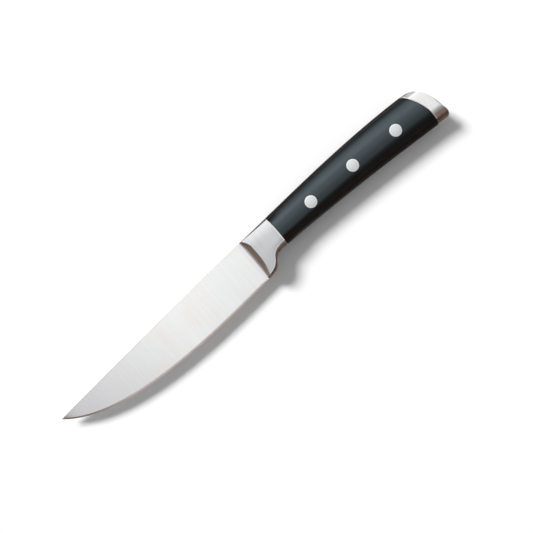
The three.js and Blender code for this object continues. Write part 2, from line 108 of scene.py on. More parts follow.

# Marks on the bolster and the cap: widths of the lips' painted highlights in easings, and where the painted
# reflections change
BOLSTER_HIGHLIGHT_LIP = 1.6
CAP_HIGHLIGHT_LIP = 1.2
CAP_HIGHLIGHT_LEAN = 0.5
BELLY_HIGHLIGHT_LIP = 0.6
BELLY_HIGHLIGHT_REACH = (-0.4, -0.1)
SCOOP_TOLERANCE = 0.05 * MM
SCOOP_REFLECTION_START = 0.05
# Painted light: the bolster's sides turn lighter over this rise towards the back
PAINTED_LIGHT_RISE = (3.5 * MM, 8 * MM)
# Painted reflection in the scoop: purple-grey where it leaves the blade, then brown
FILLET_REFLECTION_TONE = (0.0, 0.05)
SCOOP_REFLECTION_TONE = (0.24, 0.44)
# Where the strips' darker painted reflection comes in, at the belly and at the back
BELLY_STRIP_REFLECTION_TONE = (0.0, 0.08)
BACK_STRIP_REFLECTION_TONE = (0.0, 0.1)
# The cap's strip of darker painted reflection along the belly
CAP_STRIP_REFLECTION_MARK = 0.3
CAP_STRIP_REFLECTION_SLOPE = 5
# Painted reflection: how the cap's side turns brown towards the belly
CAP_REFLECTION_BROWN_MARK = 0.4
CAP_REFLECTION_BROWN_SLOPE = 0.45

# Ranges of the brushed lines on each steel, and the shades and the roughness that they give
GRAIN_DEPTH = 0.02 * MM
BLADE_LINES = (0.6, 1.4)
BLADE_SHADES = (0.94, 1.04)
BLADE_ROUGHNESS = (0.32, 0.44)
BOLSTER_LINES = (1.1, 1.9)
BOLSTER_SHADES = (0.89, 1.07)
BOLSTER_ROUGHNESS = (0.36, 0.46)
RIVET_LINES = (0.7, 1.3)
RIVET_SHADES = (0.94, 1.04)
RIVET_ROUGHNESS = (0.26, 0.38)
WARM_PATCHES = (0.45, 0.65)
FINE_PATCHES = 160.0
BLADE_GRAIN = 0.14
BOLSTER_GRAIN = 0.1
RIVET_GRAIN = 0.1
BEVEL_ROUGHENING = 0.3
LIP_ROUGHENING = 0.15
STRIP_POLISH = -0.2

# Rings on a rivet's head, as shares of its radius
RING = 0.68
RING_WIDTH = 0.05
RIM = (0.74, 0.86)

# Plastic of the grips, with painted brown reflection on its strips, and top of the table
GRIP_GRAIN = 0.15
GRIP_LIGHTER = 1.5
GRIP_LIGHTER_CLOUDS = (0.35, 0.65)
GRIP_ROUGHER_CLOUDS = (0.3, 0.7)
GRIP_SKIN = 9000.0
GRIP_CLOUDS = 120.0
# Where the grips' painted brown reflection lies, on the strips and along the back
GRIP_RIM_REFLECTION = (0.2, 0.6)
GRIP_LINE_REFLECTION = (0.62, 0.85)
GRIP_ROUGHNESS = (0.24, 0.3)
GRIP_GLOSS = 0.68
GRIP_GLOSS_TINT = (0.72, 0.9, 1.0)
TABLE_CLOUDS = 6.0
TABLE_DULLER = 0.995
TABLE_ROUGHNESS = 0.9
TABLE_GLOSS = 0.1

# Surroundings that the steel and the plastic mirror: angles across and along the knife, and light
BOX_AIM = math.radians(34)
BOX_NEAR = math.radians(36)
BOX_FAR = math.radians(13)
BOX_LENGTH = math.radians(45)
BOX_LIGHT = (2.64, 2.75, 2.8)
ROOM_LIGHT = (0.055, 0.037, 0.026)
BROWN_AIM = math.radians(-60)
BROWN_WIDTH = math.radians(8)
BROWN_LIGHT = (0.25, 0.11, 0.05)
WALL_FULL = math.radians(4)
WALL_END = math.radians(17)
WALL_LIGHT = (0.74, 0.735, 0.73)
WHITE = (1, 1, 1)

# Table, lamps and camera
TABLE_REACH = 6.0
TABLE_GAP = 0.1 * MM
KEY_STRENGTH = 3.5
KEY_SPREAD = 18
KEY_WAY = (2.4, -6.9, -6.75)
FILL_STRENGTH = 0.95
FILL_SPREAD = 150
FILL_WAY = (0, 0, -1)
LENS = 70
SENSOR = 36
CAMERA_X = 4.1 * MM
CAMERA_Y = -6.08 * MM
CAMERA_HEIGHT = 484.6 * MM
CAMERA_TURN = -40.6


def size(label, note, millimetres):
    """A length that a user can change, given in millimetres."""
    return bpy.props.FloatProperty(
        name=label, description=note, default=millimetres * MM, subtype="DISTANCE", unit="LENGTH", precision=5
    )


def turn(label, note, degrees):
    """An angle that a user can change, given in degrees."""
    return bpy.props.FloatProperty(
        name=label, description=note, default=math.radians(degrees), subtype="ANGLE", unit="ROTATION"
    )


def share(label, note, value):
    """A plain number that a user can change."""
    return bpy.props.FloatProperty(name=label, description=note, default=value)


def tint(label, note, red, green, blue):
    """A colour that a user can change."""
    return bpy.props.FloatVectorProperty(
        name=label, description=note, default=(red, green, blue), size=3, min=0, soft_max=1, subtype="COLOR"
    )


class BladeSizes(bpy.types.PropertyGroup):
    """Outline and grind of the blade."""

    length: size("Length", "From the tip to the heel", 115)
    spine_rise: size("Spine rise", "The spine at the heel, above the tip", 8.4)
    spine_bow: size("Spine bow", "How far the spine bulges above a straight line", 0.3)
    heel_drop: size("Heel drop", "The edge at the heel, below the tip", 13.4)
    tip_angle: turn("Tip angle", "The edge leaves the tip downwards at this angle", 42)
    tip_pull: size("Tip pull", "How far the edge keeps its direction at the tip", 32)
    heel_angle: turn("Heel angle", "The edge rises towards the heel at this angle", 4.4)
    heel_pull: size("Heel pull", "How far the edge keeps its direction at the heel", 30)
    blank: size("Blank", "The steel sheet that blade and tang are cut from", 2.2)
    tip_thickness: size("Tip thickness", "The spine at the tip", 0.8)
    shoulder: size("Shoulder", "The flat grind, where the edge bevel starts", 0.44)
    edge: size("Edge", "The cutting edge itself", 0.06)
    bevel: size("Bevel", "The sharpened bevel, seen from the side", 0.85)
    bevel_runout: size("Bevel run-out", "The bevel narrows over this length at the heel", 6)
    bevel_end: share("Bevel end", "The share of its width that the bevel keeps at the heel", 0.05)
    plunge_cover: size("Plunge cover", "The flat grind runs on under the bolster for this length", 0.5)
    plunge: size("Plunge", "And then steps up to the full blank over this length", 1)
    spine_ease: size("Spine ease", "The chamfer along the spine", 0.25)
    tip_bevel_share: share("Tip bevel", "The bevel takes at most this share of the blade's height", 1 / 3)
    tip_ease_share: share("Tip ease", "The spine's chamfer takes at most this share of the height", 1 / 4)


class HandleSizes(bpy.types.PropertyGroup):
    """Outline and section of the handle."""

    length: size("Length", "From the heel to the butt", 115)
    back_angle: turn("Back angle", "The back rises from above the heel at this angle", 3)
    back_pull: size("Back pull", "How far the back keeps that direction", 32)
    butt_setback: size("Butt setback", "Where the back turns into the butt, ahead of the butt", 12)
    butt_rise: size("Butt rise", "The back there, above the tip", 11.3)
    butt_angle: turn("Butt angle", "The back falls at this angle there", 3.1)
    butt_back_pull: size("Butt back pull", "How far the back comes in along that direction", 37)
    butt_pull: size("Butt pull", "How far the butt's curve keeps the direction of the back", 9.7)
    butt_foot_pull: size("Butt foot pull", "How far it comes down upright to its lower corner", 6)
    butt_corner: size("Butt corner", "Radius of the lower corner", 1.5)
    belly_drop: size("Belly drop", "The belly behind the guard, below the tip", 6.5)
    belly_pull: size("Belly pull", "How far the belly runs level behind the guard", 79)
    butt_drop: size("Butt drop", "The belly at the butt, below the tip", 10.1)
    butt_belly_pull: size("Butt belly pull", "How far the belly comes in level at the butt", 15.6)
    side_flat: size("Side flat", "The flat along the middle of each side", 5)
    rivet_drop: size("Rivet drop", "The line of the rivets, below the middle of the handle", 0.6)
    back_fall: size("Back fall", "The bolster's sides fall by this much to their crisp edge at the back", 0.2)
    belly_fall: size("Belly fall", "And by this much to their crisp edge at the belly", 0.15)
    grip_back_fall: size("Grip back fall", "The rounder grips and cap fall by this much at the back", 2)
    grip_belly_fall: size("Grip belly fall", "And by this much at the belly", 1.4)
    rounding: size("Rounding", "Behind the bolster the sides grow rounder over this length", 8)
    back_strip_front: size("Back strip, front", "Steep strip between edge and back at the heel", 0.2)
    back_strip_rear: size("Back strip, rear", "The same strip from the grips on", 1.3)
    belly_strip_front: size("Belly strip, front", "Steep strip between edge and belly at the heel", 1.2)
    belly_strip_rear: size("Belly strip, rear", "The same strip from the grips on", 2.5)
    strip_bulge: share("Strip bulge", "Bend of a strip, from straight at 0 to upright at the outline", 0.3)
    back_soften: share("Back softening", "Grip and cap strips at the back look flatter by this slope", 0.68)
    belly_soften: share("Belly softening", "The grips' strips along the belly, by this slope", 0.48)
    shaded_slope: share("Shaded slope", "The grips are shaded with this slope at their crisp edges", 0.6)
    grip_crown: size("Grip crown", "The grips' sides bow by this much across the flat", 0.4)
    grip_crown_reach: size("Grip crown reach", "And have fallen by it this far from the middle", 7)
    bond: size("Bond", "The film between the tang and what is fixed to its sides", 0.05)
    joint: size("Joint", "The gap between the ends of the grips and the steel", 0.1)
    grip_ease: size("Grip ease", "The rounding of the grips' ends", 0.15)
    steel_ease: size("Steel ease", "The rounding of the steel at the joints", 0.35)


class BolsterSizes(bpy.types.PropertyGroup):
    """The bolster with its finger guard and scooped front."""

    length: size("Length", "From the heel to the grips", 18.8)
    rear_radius: size("Rear radius", "The bow of its rear end", 55)
    heel_thickness: size("Heel thickness", "Its sides, carried forward to the heel", 10.6)
    guard_setback: size("Guard setback", "The finger guard ends this far ahead of the rear end", 2.3)
    guard_heel_pull: size("Guard heel pull", "How far the guard runs level from the heel", 12.8)
    guard_belly_pull: size("Guard belly pull", "How far the guard comes in level to the belly", 9.3)
    scoop_start: size("Scoop start", "The thin lip of the scooped front, behind the heel", 1.4)
    scoop_lip: size("Scoop lip", "The height of that lip above the blade", 0.12)
    scoop_bulge: size("Scoop bulge", "The crease of the scoop, behind the heel, along the flat", 4.9)
    scoop_end: size("Scoop end", "The crease at the back and the belly, behind the heel", 2.5)
    scoop_fillet: share("Scoop fillet", "The scoop hugs the blade over this share of its length", 0.6)
    strip_soften: share("Strip softening", "The cheeks' strips look flatter by this slope", 1.02)


class CapSizes(bpy.types.PropertyGroup):
    """The end cap."""

    length: size("Length", "From the grips to the butt", 6.7)
    seat_radius: size("Seat radius", "The bow of the joint with the grips", 28.2)
    seat_drop: size("Seat drop", "The bow's rearmost point, below the tip", 6.6)
    edge: size("Edge", "The rounding round the butt", 1.2)
    soften: share("Softening", "The cap's back half is shaded as if its fall were less by this share", 0.95)
    soften_depth: size("Softening depth", "Only the first of that fall, down to this depth", 0.9)
    soften_end: size("Softening end", "From that depth to this one the softening fades out", 1.4)
    strip_soften: share("Strip softening", "Its strip at the belly looks flatter by this slope", 0.6)


class RivetSizes(bpy.types.PropertyGroup):
    """The rivets, each a post pressed into a sleeve."""

    front: size("Front rivet", "The first rivet, behind the bolster", 20.3)
    rear: size("Rear rivet", "The last rivet, ahead of the cap", 18.1)
    head: size("Head", "Diameter of a head", 6)
    head_depth: size("Head depth", "Thickness of a head", 1.8)
    sleeve: size("Sleeve", "Diameter of the sleeve", 4.2)
    post: size("Post", "Diameter of the post", 3)
    sleeve_gap: size("Sleeve gap", "The sleeve stops this far short of the other head", 2)
    post_gap: size("Post gap", "The post stops this far short of the bottom of its sleeve", 0.6)
    hole: size("Hole", "Clearance round a rivet and between its halves", 0.05)
    ease: size("Ease", "The rounding of a head's rim", 0.12)


class KnifeColours(bpy.types.PropertyGroup):
    """Colours of the finishes and of the table, with painted light, shade, highlights and reflections among
    them.
    """

    blade_steel: tint("Blade steel", "Ground side of the blade", 0.92, 0.915, 0.905)
    blade_warm: tint("Blade warmth", "Faint warm patches on the blade", 0.92, 0.89, 0.86)
    # Painted shade: greyer steel in the band ahead of the bolster
    blade_shade_band: tint("Blade band", "Greyer band ahead of the bolster", 0.85, 0.845, 0.85)
    blade_tip: tint("Blade tip", "Ground side near the tip", 0.69, 0.673, 0.687)
    # The bevel's pink and dark brown are painted reflection; the grind there is also rougher
    bevel_painted_reflection: tint("Bevel", "Sharpened bevel and eased spine", 0.92, 0.81, 0.78)
    bevel_tip_painted_reflection: tint("Bevel tip", "Sharpened bevel near the tip", 0.34, 0.26, 0.21)
    bolster_steel: tint("Bolster steel", "Satin sides of the bolster", 0.57, 0.565, 0.575)
    # Painted light: a lighter copy of the bolster's steel, for the sides towards the back
    bolster_painted_light: tint("Bolster light", "The same sides towards the back", 0.64, 0.64, 0.642)
    cap_steel: tint("Cap steel", "Satin sides of the cap", 0.8, 0.79, 0.775)
    # Painted highlight on the rounded edges of bolster and cap
    lip_painted_highlight: tint("Lip", "Bright edges of bolster and cap at joints, belly and butt", 0.95, 0.925, 0.92)
    # Darker steel on the polished strips: painted reflection of darker surroundings
    strip_reflection_steel: tint("Strip steel", "Steel of the strips along back and belly", 0.52, 0.5, 0.48)
    # Painted reflection: brown over the scoop and purple-grey where it leaves the blade
    scoop_reflection_brown: tint("Scoop", "Hollow front of the bolster", 0.4, 0.325, 0.26)
    scoop_fillet: tint("Scoop fillet", "Where the hollow front leaves the blade", 0.74, 0.65, 0.68)
    rivet_steel: tint("Rivet steel", "Ground heads of the rivets", 0.6, 0.6, 0.6)
    rivet_ring: tint("Rivet ring", "Faint ring on each head", 0.48, 0.48, 0.48)
    rivet_rim: tint("Rivet rim", "Lighter rim of each head", 0.66, 0.66, 0.66)
    grip_black: tint("Grip black", "Moulded grips", 0.002, 0.0016, 0.0014)
    # Painted reflection: brown on the grips' strips and an orange-brown line along the back
    grip_rim_reflection: tint("Grip rim", "Steep strips of the grips", 0.008, 0.003, 0.002)
    grip_line_reflection: tint("Grip line", "The grips' strip along the back, near the outline", 0.06, 0.025, 0.013)
    table: tint("Table", "The table top", 0.965, 0.965, 0.965)


class KnifeSettings(bpy.types.PropertyGroup):
    """All sizes and colours of the knife."""

    blade: bpy.props.PointerProperty(type=BladeSizes, name="Blade", description="Sizes of the blade")
    handle: bpy.props.PointerProperty(type=HandleSizes, name="Handle", description="Sizes of the handle")
    bolster: bpy.props.PointerProperty(type=BolsterSizes, name="Bolster", description="Sizes of the bolster")
    cap: bpy.props.PointerProperty(type=CapSizes, name="Cap", description="Sizes of the end cap")
    rivet: bpy.props.PointerProperty(type=RivetSizes, name="Rivets", description="Sizes of the rivets")
    colour: bpy.props.PointerProperty(type=KnifeColours, name="Colours", description="All colours")


def sweep(start, start_angle, start_pull, end, end_angle, end_pull):
    """Points of a smooth line: a cubic curve from one point to another, with given directions at both.

    Each pull is the distance of the curve's inner control point from its end, along the direction there.
    """
    t = np.linspace(0, 1, LINE_POINTS)[:, None]
    first = np.array(start)
    last = np.array(end)
    leave = first + start_pull * np.array([math.cos(start_angle), math.sin(start_angle)])
    arrive = last - end_pull * np.array([math.cos(end_angle), math.sin(end_angle)])
    return (1 - t) ** 3 * first + 3 * (1 - t) ** 2 * t * leave + 3 * (1 - t) * t**2 * arrive + t**3 * last


def height_on(line, x):
    """The height of such a line at places along the knife."""
    return np.interp(x, line[:, 0], line[:, 1])


def fade(x, start, end):
    """A smooth step from 0 to 1 as a place moves from one end of a stretch to the other."""
    t = np.clip((x - start) / (end - start), 0, 1)
    return t * t * (3 - 2 * t)


def drop_at_edge(distance, radius):
    """How far a rounded edge lies below the surface, as a quarter circle, at a distance from the edge."""
    inside = np.clip(radius - distance, 0, radius)
    return radius - np.sqrt(radius**2 - inside**2)


def level_off(depth, start, end):
    """A depth that stops growing, smoothly, between two depths: the integral of a smooth step down."""
    t = np.clip((depth - start) / (end - start), 0, 1)
    return np.minimum(depth, start) + (end - start) * (t - t**3 + t**4 / 2)


def eased_shares(count, length, radius):
    """Shares of a row's length, evenly spaced but crowded at its end for a smooth rounded edge there."""
    even = np.linspace(0, 1, count)[None, :] * (1 - radius / length)
    angles = np.linspace(0, math.pi / 2, EASE_COLUMNS + 1)[None, 1:]
    return np.concatenate([even, 1 - radius / length * (1 - np.sin(angles))], axis=1)


def between(start, end, along):
    """The value at a share of the way from one value to another."""
    return start + (end - start) * along


def on_bow(bow, radius, y):
    """The place along the knife where a bowed joint, given by its centre and radius, has a height."""
    return bow[0] + np.sqrt(radius**2 - (y - bow[1]) ** 2)


class SideView:
    """The knife's lines in the side view and the surfaces that follow from them."""

    def __init__(self, knife):
        blade, handle, bolster, cap = knife.blade, knife.handle, knife.bolster, knife.cap
        self.knife = knife
        self.half_blank = blade.blank / 2
        self.bond_face = self.half_blank + handle.bond
        self.half_handle = (cad_high.z - cad_low.z) / 2
        self.guard_end = bolster.length - bolster.guard_setback
        self.cap_seat = handle.length - cap.length
        self.plunge_end = bolster.scoop_start + blade.plunge_cover + blade.plunge
        self.butt_top = (handle.length - handle.butt_setback, handle.butt_rise)
        self.butt_foot = (handle.length, handle.butt_corner - handle.butt_drop)
        edge_heel = (0, -blade.heel_drop)
        self.edge_line = sweep(
            (-blade.length, 0), -blade.tip_angle, blade.tip_pull, edge_heel, blade.heel_angle, blade.heel_pull
        )
        self.back_line = sweep(
            (0, blade.spine_rise), handle.back_angle, handle.back_pull,
            self.butt_top, -handle.butt_angle, handle.butt_back_pull,
        )
        self.belly_line = sweep(
            (0, -handle.belly_drop), 0, handle.belly_pull,
            (handle.length, -handle.butt_drop), 0, handle.butt_belly_pull,
        )
        guard_rear = (self.guard_end, height_on(self.belly_line, self.guard_end))
        self.guard_line = sweep(
            edge_heel, 0, bolster.guard_heel_pull, guard_rear, 0, bolster.guard_belly_pull
        )
        self.butt_line = sweep(
            self.butt_top, -handle.butt_angle, handle.butt_pull,
            self.butt_foot, -math.pi / 2, handle.butt_foot_pull,
        )
        self.bolster_bow = (bolster.length - bolster.rear_radius, self.rivet_line(bolster.length))
        self.cap_bow = (self.cap_seat - cap.seat_radius, -cap.seat_drop)
        # Where the drawing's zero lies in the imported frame
        self.place = np.array([
            cad_low.x + blade.length,
            cad_low.y - self.edge_line[:, 1].min(),
            (cad_low.z + cad_high.z) / 2,
        ])

    def spine(self, x):
        """The blade's spine: a straight rise to the heel with a slight bow."""
        along = (x + self.knife.blade.length) / self.knife.blade.length
        return self.knife.blade.spine_rise * along + 4 * self.knife.blade.spine_bow * along * (1 - along)

    def back(self, x):
        """The back of the handle, carried straight on past the start of the butt."""
        beyond = np.maximum(0, x - self.butt_top[0])
        return height_on(self.back_line, x) - beyond * math.tan(self.knife.handle.butt_angle)

    def belly(self, x):
        """The belly of the handle, with the finger guard in front."""
        return np.where(x < self.guard_end, height_on(self.guard_line, x), height_on(self.belly_line, x))

    def rivet_line(self, x):
        """The line that the rivets and the flat of each side follow."""
        return (self.back(x) + height_on(self.belly_line, x)) / 2 - self.knife.handle.rivet_drop

    def half_thickness(self, x):
        """Half the thickness of the handle: the bolster swells from the heel to where the grips start."""
        ahead = np.maximum(0, 1 - x / self.knife.bolster.length)
        return self.half_handle - (self.half_handle - self.knife.bolster.heel_thickness / 2) * ahead**2

    def strips(self, x):
        """Widths of the steep strips at back and belly, and the fall of the sides from the flat to them."""
        handle, length = self.knife.handle, self.knife.bolster.length
        behind_heel = np.clip(x / length, 0, 1)
        rounder = fade(x, length, length + handle.rounding)
        back_strip = between(handle.back_strip_front, handle.back_strip_rear, behind_heel)
        belly_strip = between(handle.belly_strip_front, handle.belly_strip_rear, behind_heel)
        back_fall = between(handle.back_fall, handle.grip_back_fall, rounder)
        belly_fall = between(handle.belly_fall, handle.grip_belly_fall, rounder)
        return back_strip, belly_strip, back_fall, belly_fall

    def strip_share(self, x, y):
        """How far over the strips at the back and the belly a point of the side view lies.

        It is 1 at the outline, 0 at the strip's crisp edge and below 0 inside of it.
        """
        back_strip, belly_strip, _, _ = self.strips(x)
        to_back = 1 - (self.back(x) - y) / back_strip
        to_belly = 1 - (y - self.belly(x)) / belly_strip
        return np.minimum(1, to_back), np.minimum(1, to_belly)

    def flank(self, rise, step, width, strip, fall):
        """One flank of the section: distance from the outline and height, over its steps from 0 to 1.

        The first half of the steps climbs a steep strip, a straight line with a slight bulge, to a crisp
        edge. The second half is a crown, a parabola that is level where it meets the flat.
        """
        up_strip = np.minimum(1, 2 * step)
        to_flat = np.minimum(1, 2 - 2 * step)
        strip_in = strip * up_strip * (1 - self.knife.handle.strip_bulge * (1 - up_strip))
        return strip_in + (width - strip) * (1 - to_flat), (rise - fall) * up_strip + fall * (1 - to_flat**2)

    def flank_height(self, rise, inwards, width, strip, fall):
        """The height of such a flank at a distance from the outline."""
        bulge = self.knife.handle.strip_bulge
        over_strip = np.clip(inwards / strip, 0, 1)
        up_strip = (np.sqrt((1 - bulge) ** 2 + 4 * bulge * over_strip) - (1 - bulge)) / (2 * bulge)
        to_flat = np.clip((width - inwards) / (width - strip), 0, 1)
        return (rise - fall) * up_strip + fall * (1 - to_flat**2)

    def side(self, x, across, inner):
        """The left side of the handle at a place along it, from the back (across = 0) to the belly (1).

        It is a flank from the back to a flat, and another from the flat to the belly. Both start at the
        height `inner`.
        """
        flat = self.knife.handle.side_flat
        back_strip, belly_strip, back_fall, belly_fall = self.strips(x)
        on_flat = np.clip((across - ROUND_SHARE) / (1 - 2 * ROUND_SHARE), 0, 1)
        flat_top = self.rivet_line(x) + flat / 2
        back_width = self.back(x) - flat_top
        belly_width = flat_top - flat - self.belly(x)
        rise = self.half_thickness(x) - inner
        back_steps = np.clip(across / ROUND_SHARE, 0, 1)
        back_in, back_up = self.flank(rise, back_steps, back_width, back_strip, back_fall)
        belly_steps = np.clip((1 - across) / ROUND_SHARE, 0, 1)
        belly_in, belly_up = self.flank(rise, belly_steps, belly_width, belly_strip, belly_fall)
        y = flat_top + (back_width - back_in) - flat * on_flat - (belly_width - belly_in)
        return y, inner + np.minimum(back_up, belly_up)

    def side_height(self, x, y, inner, edge_slope=None):
        """The height of the handle's left side over a point of the side view.

        If a slope is given, the sides fall so far that their crowns have that slope at both crisp edges.
        """
        flat = self.knife.handle.side_flat
        back_strip, belly_strip, back_fall, belly_fall = self.strips(x)
        flat_top = self.rivet_line(x) + flat / 2
        rise = self.half_thickness(x) - inner
        back, belly = self.back(x), self.belly(x)
        back_width = back - flat_top
        belly_width = flat_top - flat - belly
        if edge_slope is not None:
            back_fall = edge_slope / 2 * (back_width - back_strip)
            belly_fall = edge_slope / 2 * (belly_width - belly_strip)
        back_up = self.flank_height(rise, back - y, back_width, back_strip, back_fall)
        belly_up = self.flank_height(rise, y - belly, belly_width, belly_strip, belly_fall)
        return inner + np.minimum(back_up, belly_up)

    def meet_bow(self, across, bow, radius, inner):
        """Where each row of the side meets the bowed end of a joint, found by stepping along the row."""
        x = np.full_like(across, bow[0] + radius)
        for _ in range(SOLVE_STEPS):
            y, _ = self.side(x, across, inner)
            x = on_bow(bow, radius, y)
        return x

    def scoop_share(self, x, y):
        """How far a point of the side view lies from the lip of the scooped front (0) to its crease (1).

        The crease lies furthest back along the flat. It curves forward, as a parabola, to back and belly.
        """
        bolster, blade, handle = self.knife.bolster, self.knife.blade, self.knife.handle
        flat_top = self.rivet_line(0.0) + handle.side_flat / 2
        flat_foot = flat_top - handle.side_flat
        above = (y - flat_top) / (blade.spine_rise - flat_top)
        below = (flat_foot - y) / (flat_foot + blade.heel_drop)
        off_flat = np.maximum(0, np.maximum(above, below))
        crease = between(bolster.scoop_bulge, bolster.scoop_end, off_flat**2)
        return (x - bolster.scoop_start) / (crease - bolster.scoop_start)

    def scoop(self, x, y):
        """The height of the scooped front over a point of the side view.

        It leaves the thin lip level, climbs in a hollow curve (a quadratic one, bent at a share of its
        length) to the crease and goes straight on above it.
        """
        bolster = self.knife.bolster
        lip = self.ground(bolster.scoop_start, y) + bolster.scoop_lip
        climb = self.half_thickness(bolster.scoop_bulge) - lip
        bend = bolster.scoop_fillet
        from_lip = self.scoop_share(x, y)
        along = np.clip(from_lip, 0, 1)
        t = (np.sqrt(bend**2 + (1 - 2 * bend) * along) - bend) / (1 - 2 * bend)
        beyond = np.maximum(0, from_lip - 1) / (1 - bend)
        return lip + climb * (t**2 + beyond)

    def grind(self, x):
        """Lines and half thicknesses of the blade's section at places along it.

        Each section has an eased spine, a flat grind down to the shoulder and the edge bevel below it. At
        the heel the bevel narrows away, and under the bolster the grind steps up to the full blank.
        """
        blade, start = self.knife.blade, self.knife.bolster.scoop_start
        spine = np.where(x < 0, self.spine(x), self.back(x))
        edge = np.where(x < 0, height_on(self.edge_line, x), self.belly(x))
        along = np.minimum(1, (x + blade.length) / blade.length)
        plunge = fade(x, self.plunge_end - blade.plunge, self.plunge_end)
        runout = np.clip(1 + (x - start) / blade.bevel_runout, 0, 1)
        bevel_share = np.maximum(blade.bevel_end, np.sqrt(1 - runout**2))
        spine_half = between(blade.tip_thickness / 2, self.half_blank, along)
        shoulder_half = between(blade.shoulder / 2, self.half_blank, plunge)
        edge_half = between(shoulder_half, blade.edge / 2, bevel_share)
        ease = np.minimum(blade.spine_ease, (spine - edge) * blade.tip_ease_share) * (1 - plunge)
        bevel = np.minimum(blade.bevel, (spine - edge) * blade.tip_bevel_share) * bevel_share
        return spine, edge, ease, bevel, spine_half, shoulder_half, edge_half

    def ground(self, x, y):
        """Half the thickness of the ground blade over a point of the side view."""
        spine, edge, ease, bevel, spine_half, shoulder_half, _ = self.grind(x)
        down = np.clip((spine - ease - y) / (spine - ease - edge - bevel), 0, 1)
        return between(spine_half, shoulder_half, down)

    def rivet_places(self):
        """Points of the side view where the rivets sit, evenly spaced from the first to the last."""
        first = self.knife.bolster.length + self.knife.rivet.front
        last = self.cap_seat - self.knife.rivet.rear
        x = np.linspace(first, last, len(RIVET_NAMES))
        return np.stack([x, self.rivet_line(x)], axis=1)


def grid_faces(index, flip):
    """Four-cornered faces over a grid of vertex numbers; flip turns them over."""
    corners = [index[:-1, :-1], index[1:, :-1], index[1:, 1:], index[:-1, 1:]]
    if flip:
        corners.reverse()
    return np.stack(corners, axis=-1).reshape(-1, 4)


def piece_between(name, upper, lower, view):
    """A closed piece between two sheets, which are grids of points over the same rows and columns.

    Rows run from the back to the belly and columns from the tip to the butt. Walls join the rims of the
    sheets, and points that fall together there become one.
    """
    rows, columns, _ = upper.shape
    count = rows * columns
    top = np.arange(count).reshape(rows, columns)
    low = top + count
    faces = [
        grid_faces(top, False),
        grid_faces(low, True),
        grid_faces(np.stack([top[:, 0], low[:, 0]], axis=1), True),
        grid_faces(np.stack([top[:, -1], low[:, -1]], axis=1), False),
        grid_faces(np.stack([low[0], top[0]], axis=0), False),
        grid_faces(np.stack([top[-1], low[-1]], axis=0), False),
    ]
    points = np.concatenate([upper.reshape(-1, 3), lower.reshape(-1, 3)]) + view.place
    return mesh_piece(name, points, np.concatenate(faces))


def mesh_piece(name, points, faces):
    """An object from points and faces, with points that fall together merged."""
    mesh = bpy.data.meshes.new(name)
    mesh.from_pydata(points.tolist(), [], faces.tolist())
    form = bmesh.new()
    form.from_mesh(mesh)
    bmesh.ops.remove_doubles(form, verts=form.verts, dist=MERGE_DISTANCE)
    form.to_mesh(mesh)
    form.free()
    piece = bpy.data.objects.new(name, mesh)
    bpy.context.scene.collection.objects.link(piece)
    return piece


def turned_points(profile, place):
    """Points and faces of a piece turned about an upright axis, from a profile of radius and height."""
    angles = np.linspace(0, 2 * math.pi, TURN_STEPS, endpoint=False)
    ring = np.stack([np.cos(angles), np.sin(angles)], axis=1)
    radii = profile[:, 0]
    xy = ring[None, :, :] * radii[:, None, None] + place[None, None, :]
    z = np.broadcast_to(profile[:, 1, None, None], (len(profile), TURN_STEPS, 1))
    points = np.concatenate([xy, z], axis=2).reshape(-1, 3)
    index = np.arange(len(points)).reshape(len(profile), TURN_STEPS)
    closed = np.concatenate([index, index[:, :1]], axis=1)
    return points, grid_faces(closed, True)


def mirrored(sheet):
    """A sheet mirrored in the middle plane of the blade."""
    return sheet * np.array([1, 1, -1])


def finish_piece(piece, material, nodes, crease):
    """Smooths a piece between its crisp edges, gives it its finish and lets it stand for its nodes."""
    mesh = piece.data
    mesh.shade_smooth()
    mesh.set_sharp_from_angle(angle=math.radians(crease))
    mesh.materials.clear()
    mesh.materials.append(material)
    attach(piece, BODY)
    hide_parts(*nodes)


def drill(piece, view, holes):
    """Cuts round holes at the rivets out of a piece: each hole is a diameter, a lower and an upper height."""
    for place in view.rivet_places():
        for diameter, low, high in holes:
            profile = np.array([[0, low], [diameter / 2, low], [diameter / 2, high], [0, high]])
            points, faces = turned_points(profile, place)
            bit = mesh_piece("drill", points + view.place, faces)
            cut = piece.modifiers.new("hole", "BOOLEAN")
            cut.operation = "DIFFERENCE"
            cut.solver = "EXACT"
            cut.object = bit
            bpy.context.view_layer.update()
            graph = bpy.context.evaluated_depsgraph_get()
            drilled = bpy.data.meshes.new_from_object(piece.evaluated_get(graph))
            piece.modifiers.clear()
            blank = piece.data
            piece.data = drilled
            bpy.data.meshes.remove(blank)
            bpy.data.objects.remove(bit)
    piece.data.name = piece.name


def add_node(tree, kind, inputs=None, **settings):
    """A node with its settings and the values or links of its inputs."""
    node = tree.nodes.new(kind)
    for key, value in settings.items():
        setattr(node, key, value)
    for key, value in (inputs or {}).items():
        if isinstance(value, bpy.types.NodeSocket):
            tree.links.new(value, node.inputs[key])
        else:
            node.inputs[key].default_value = value
    return node


def math_node(tree, operation, first, second=0.0, third=0.0):
    """The output of a Math node."""
    return add_node(tree, "ShaderNodeMath", {0: first, 1: second, 2: third}, operation=operation).outputs[0]


def mask_value(tree, name):
    """A value that a piece keeps for its finish."""
    return add_node(tree, "ShaderNodeAttribute", attribute_name=name).outputs["Fac"]


def spread(tree, value, low, high, to_low, to_high):
    """A value moved from one range to another, held at its ends."""
    inputs = {"Value": value, "From Min": low, "From Max": high, "To Min": to_low, "To Max": to_high}
    return add_node(tree, "ShaderNodeMapRange", inputs, clamp=True).outputs["Result"]


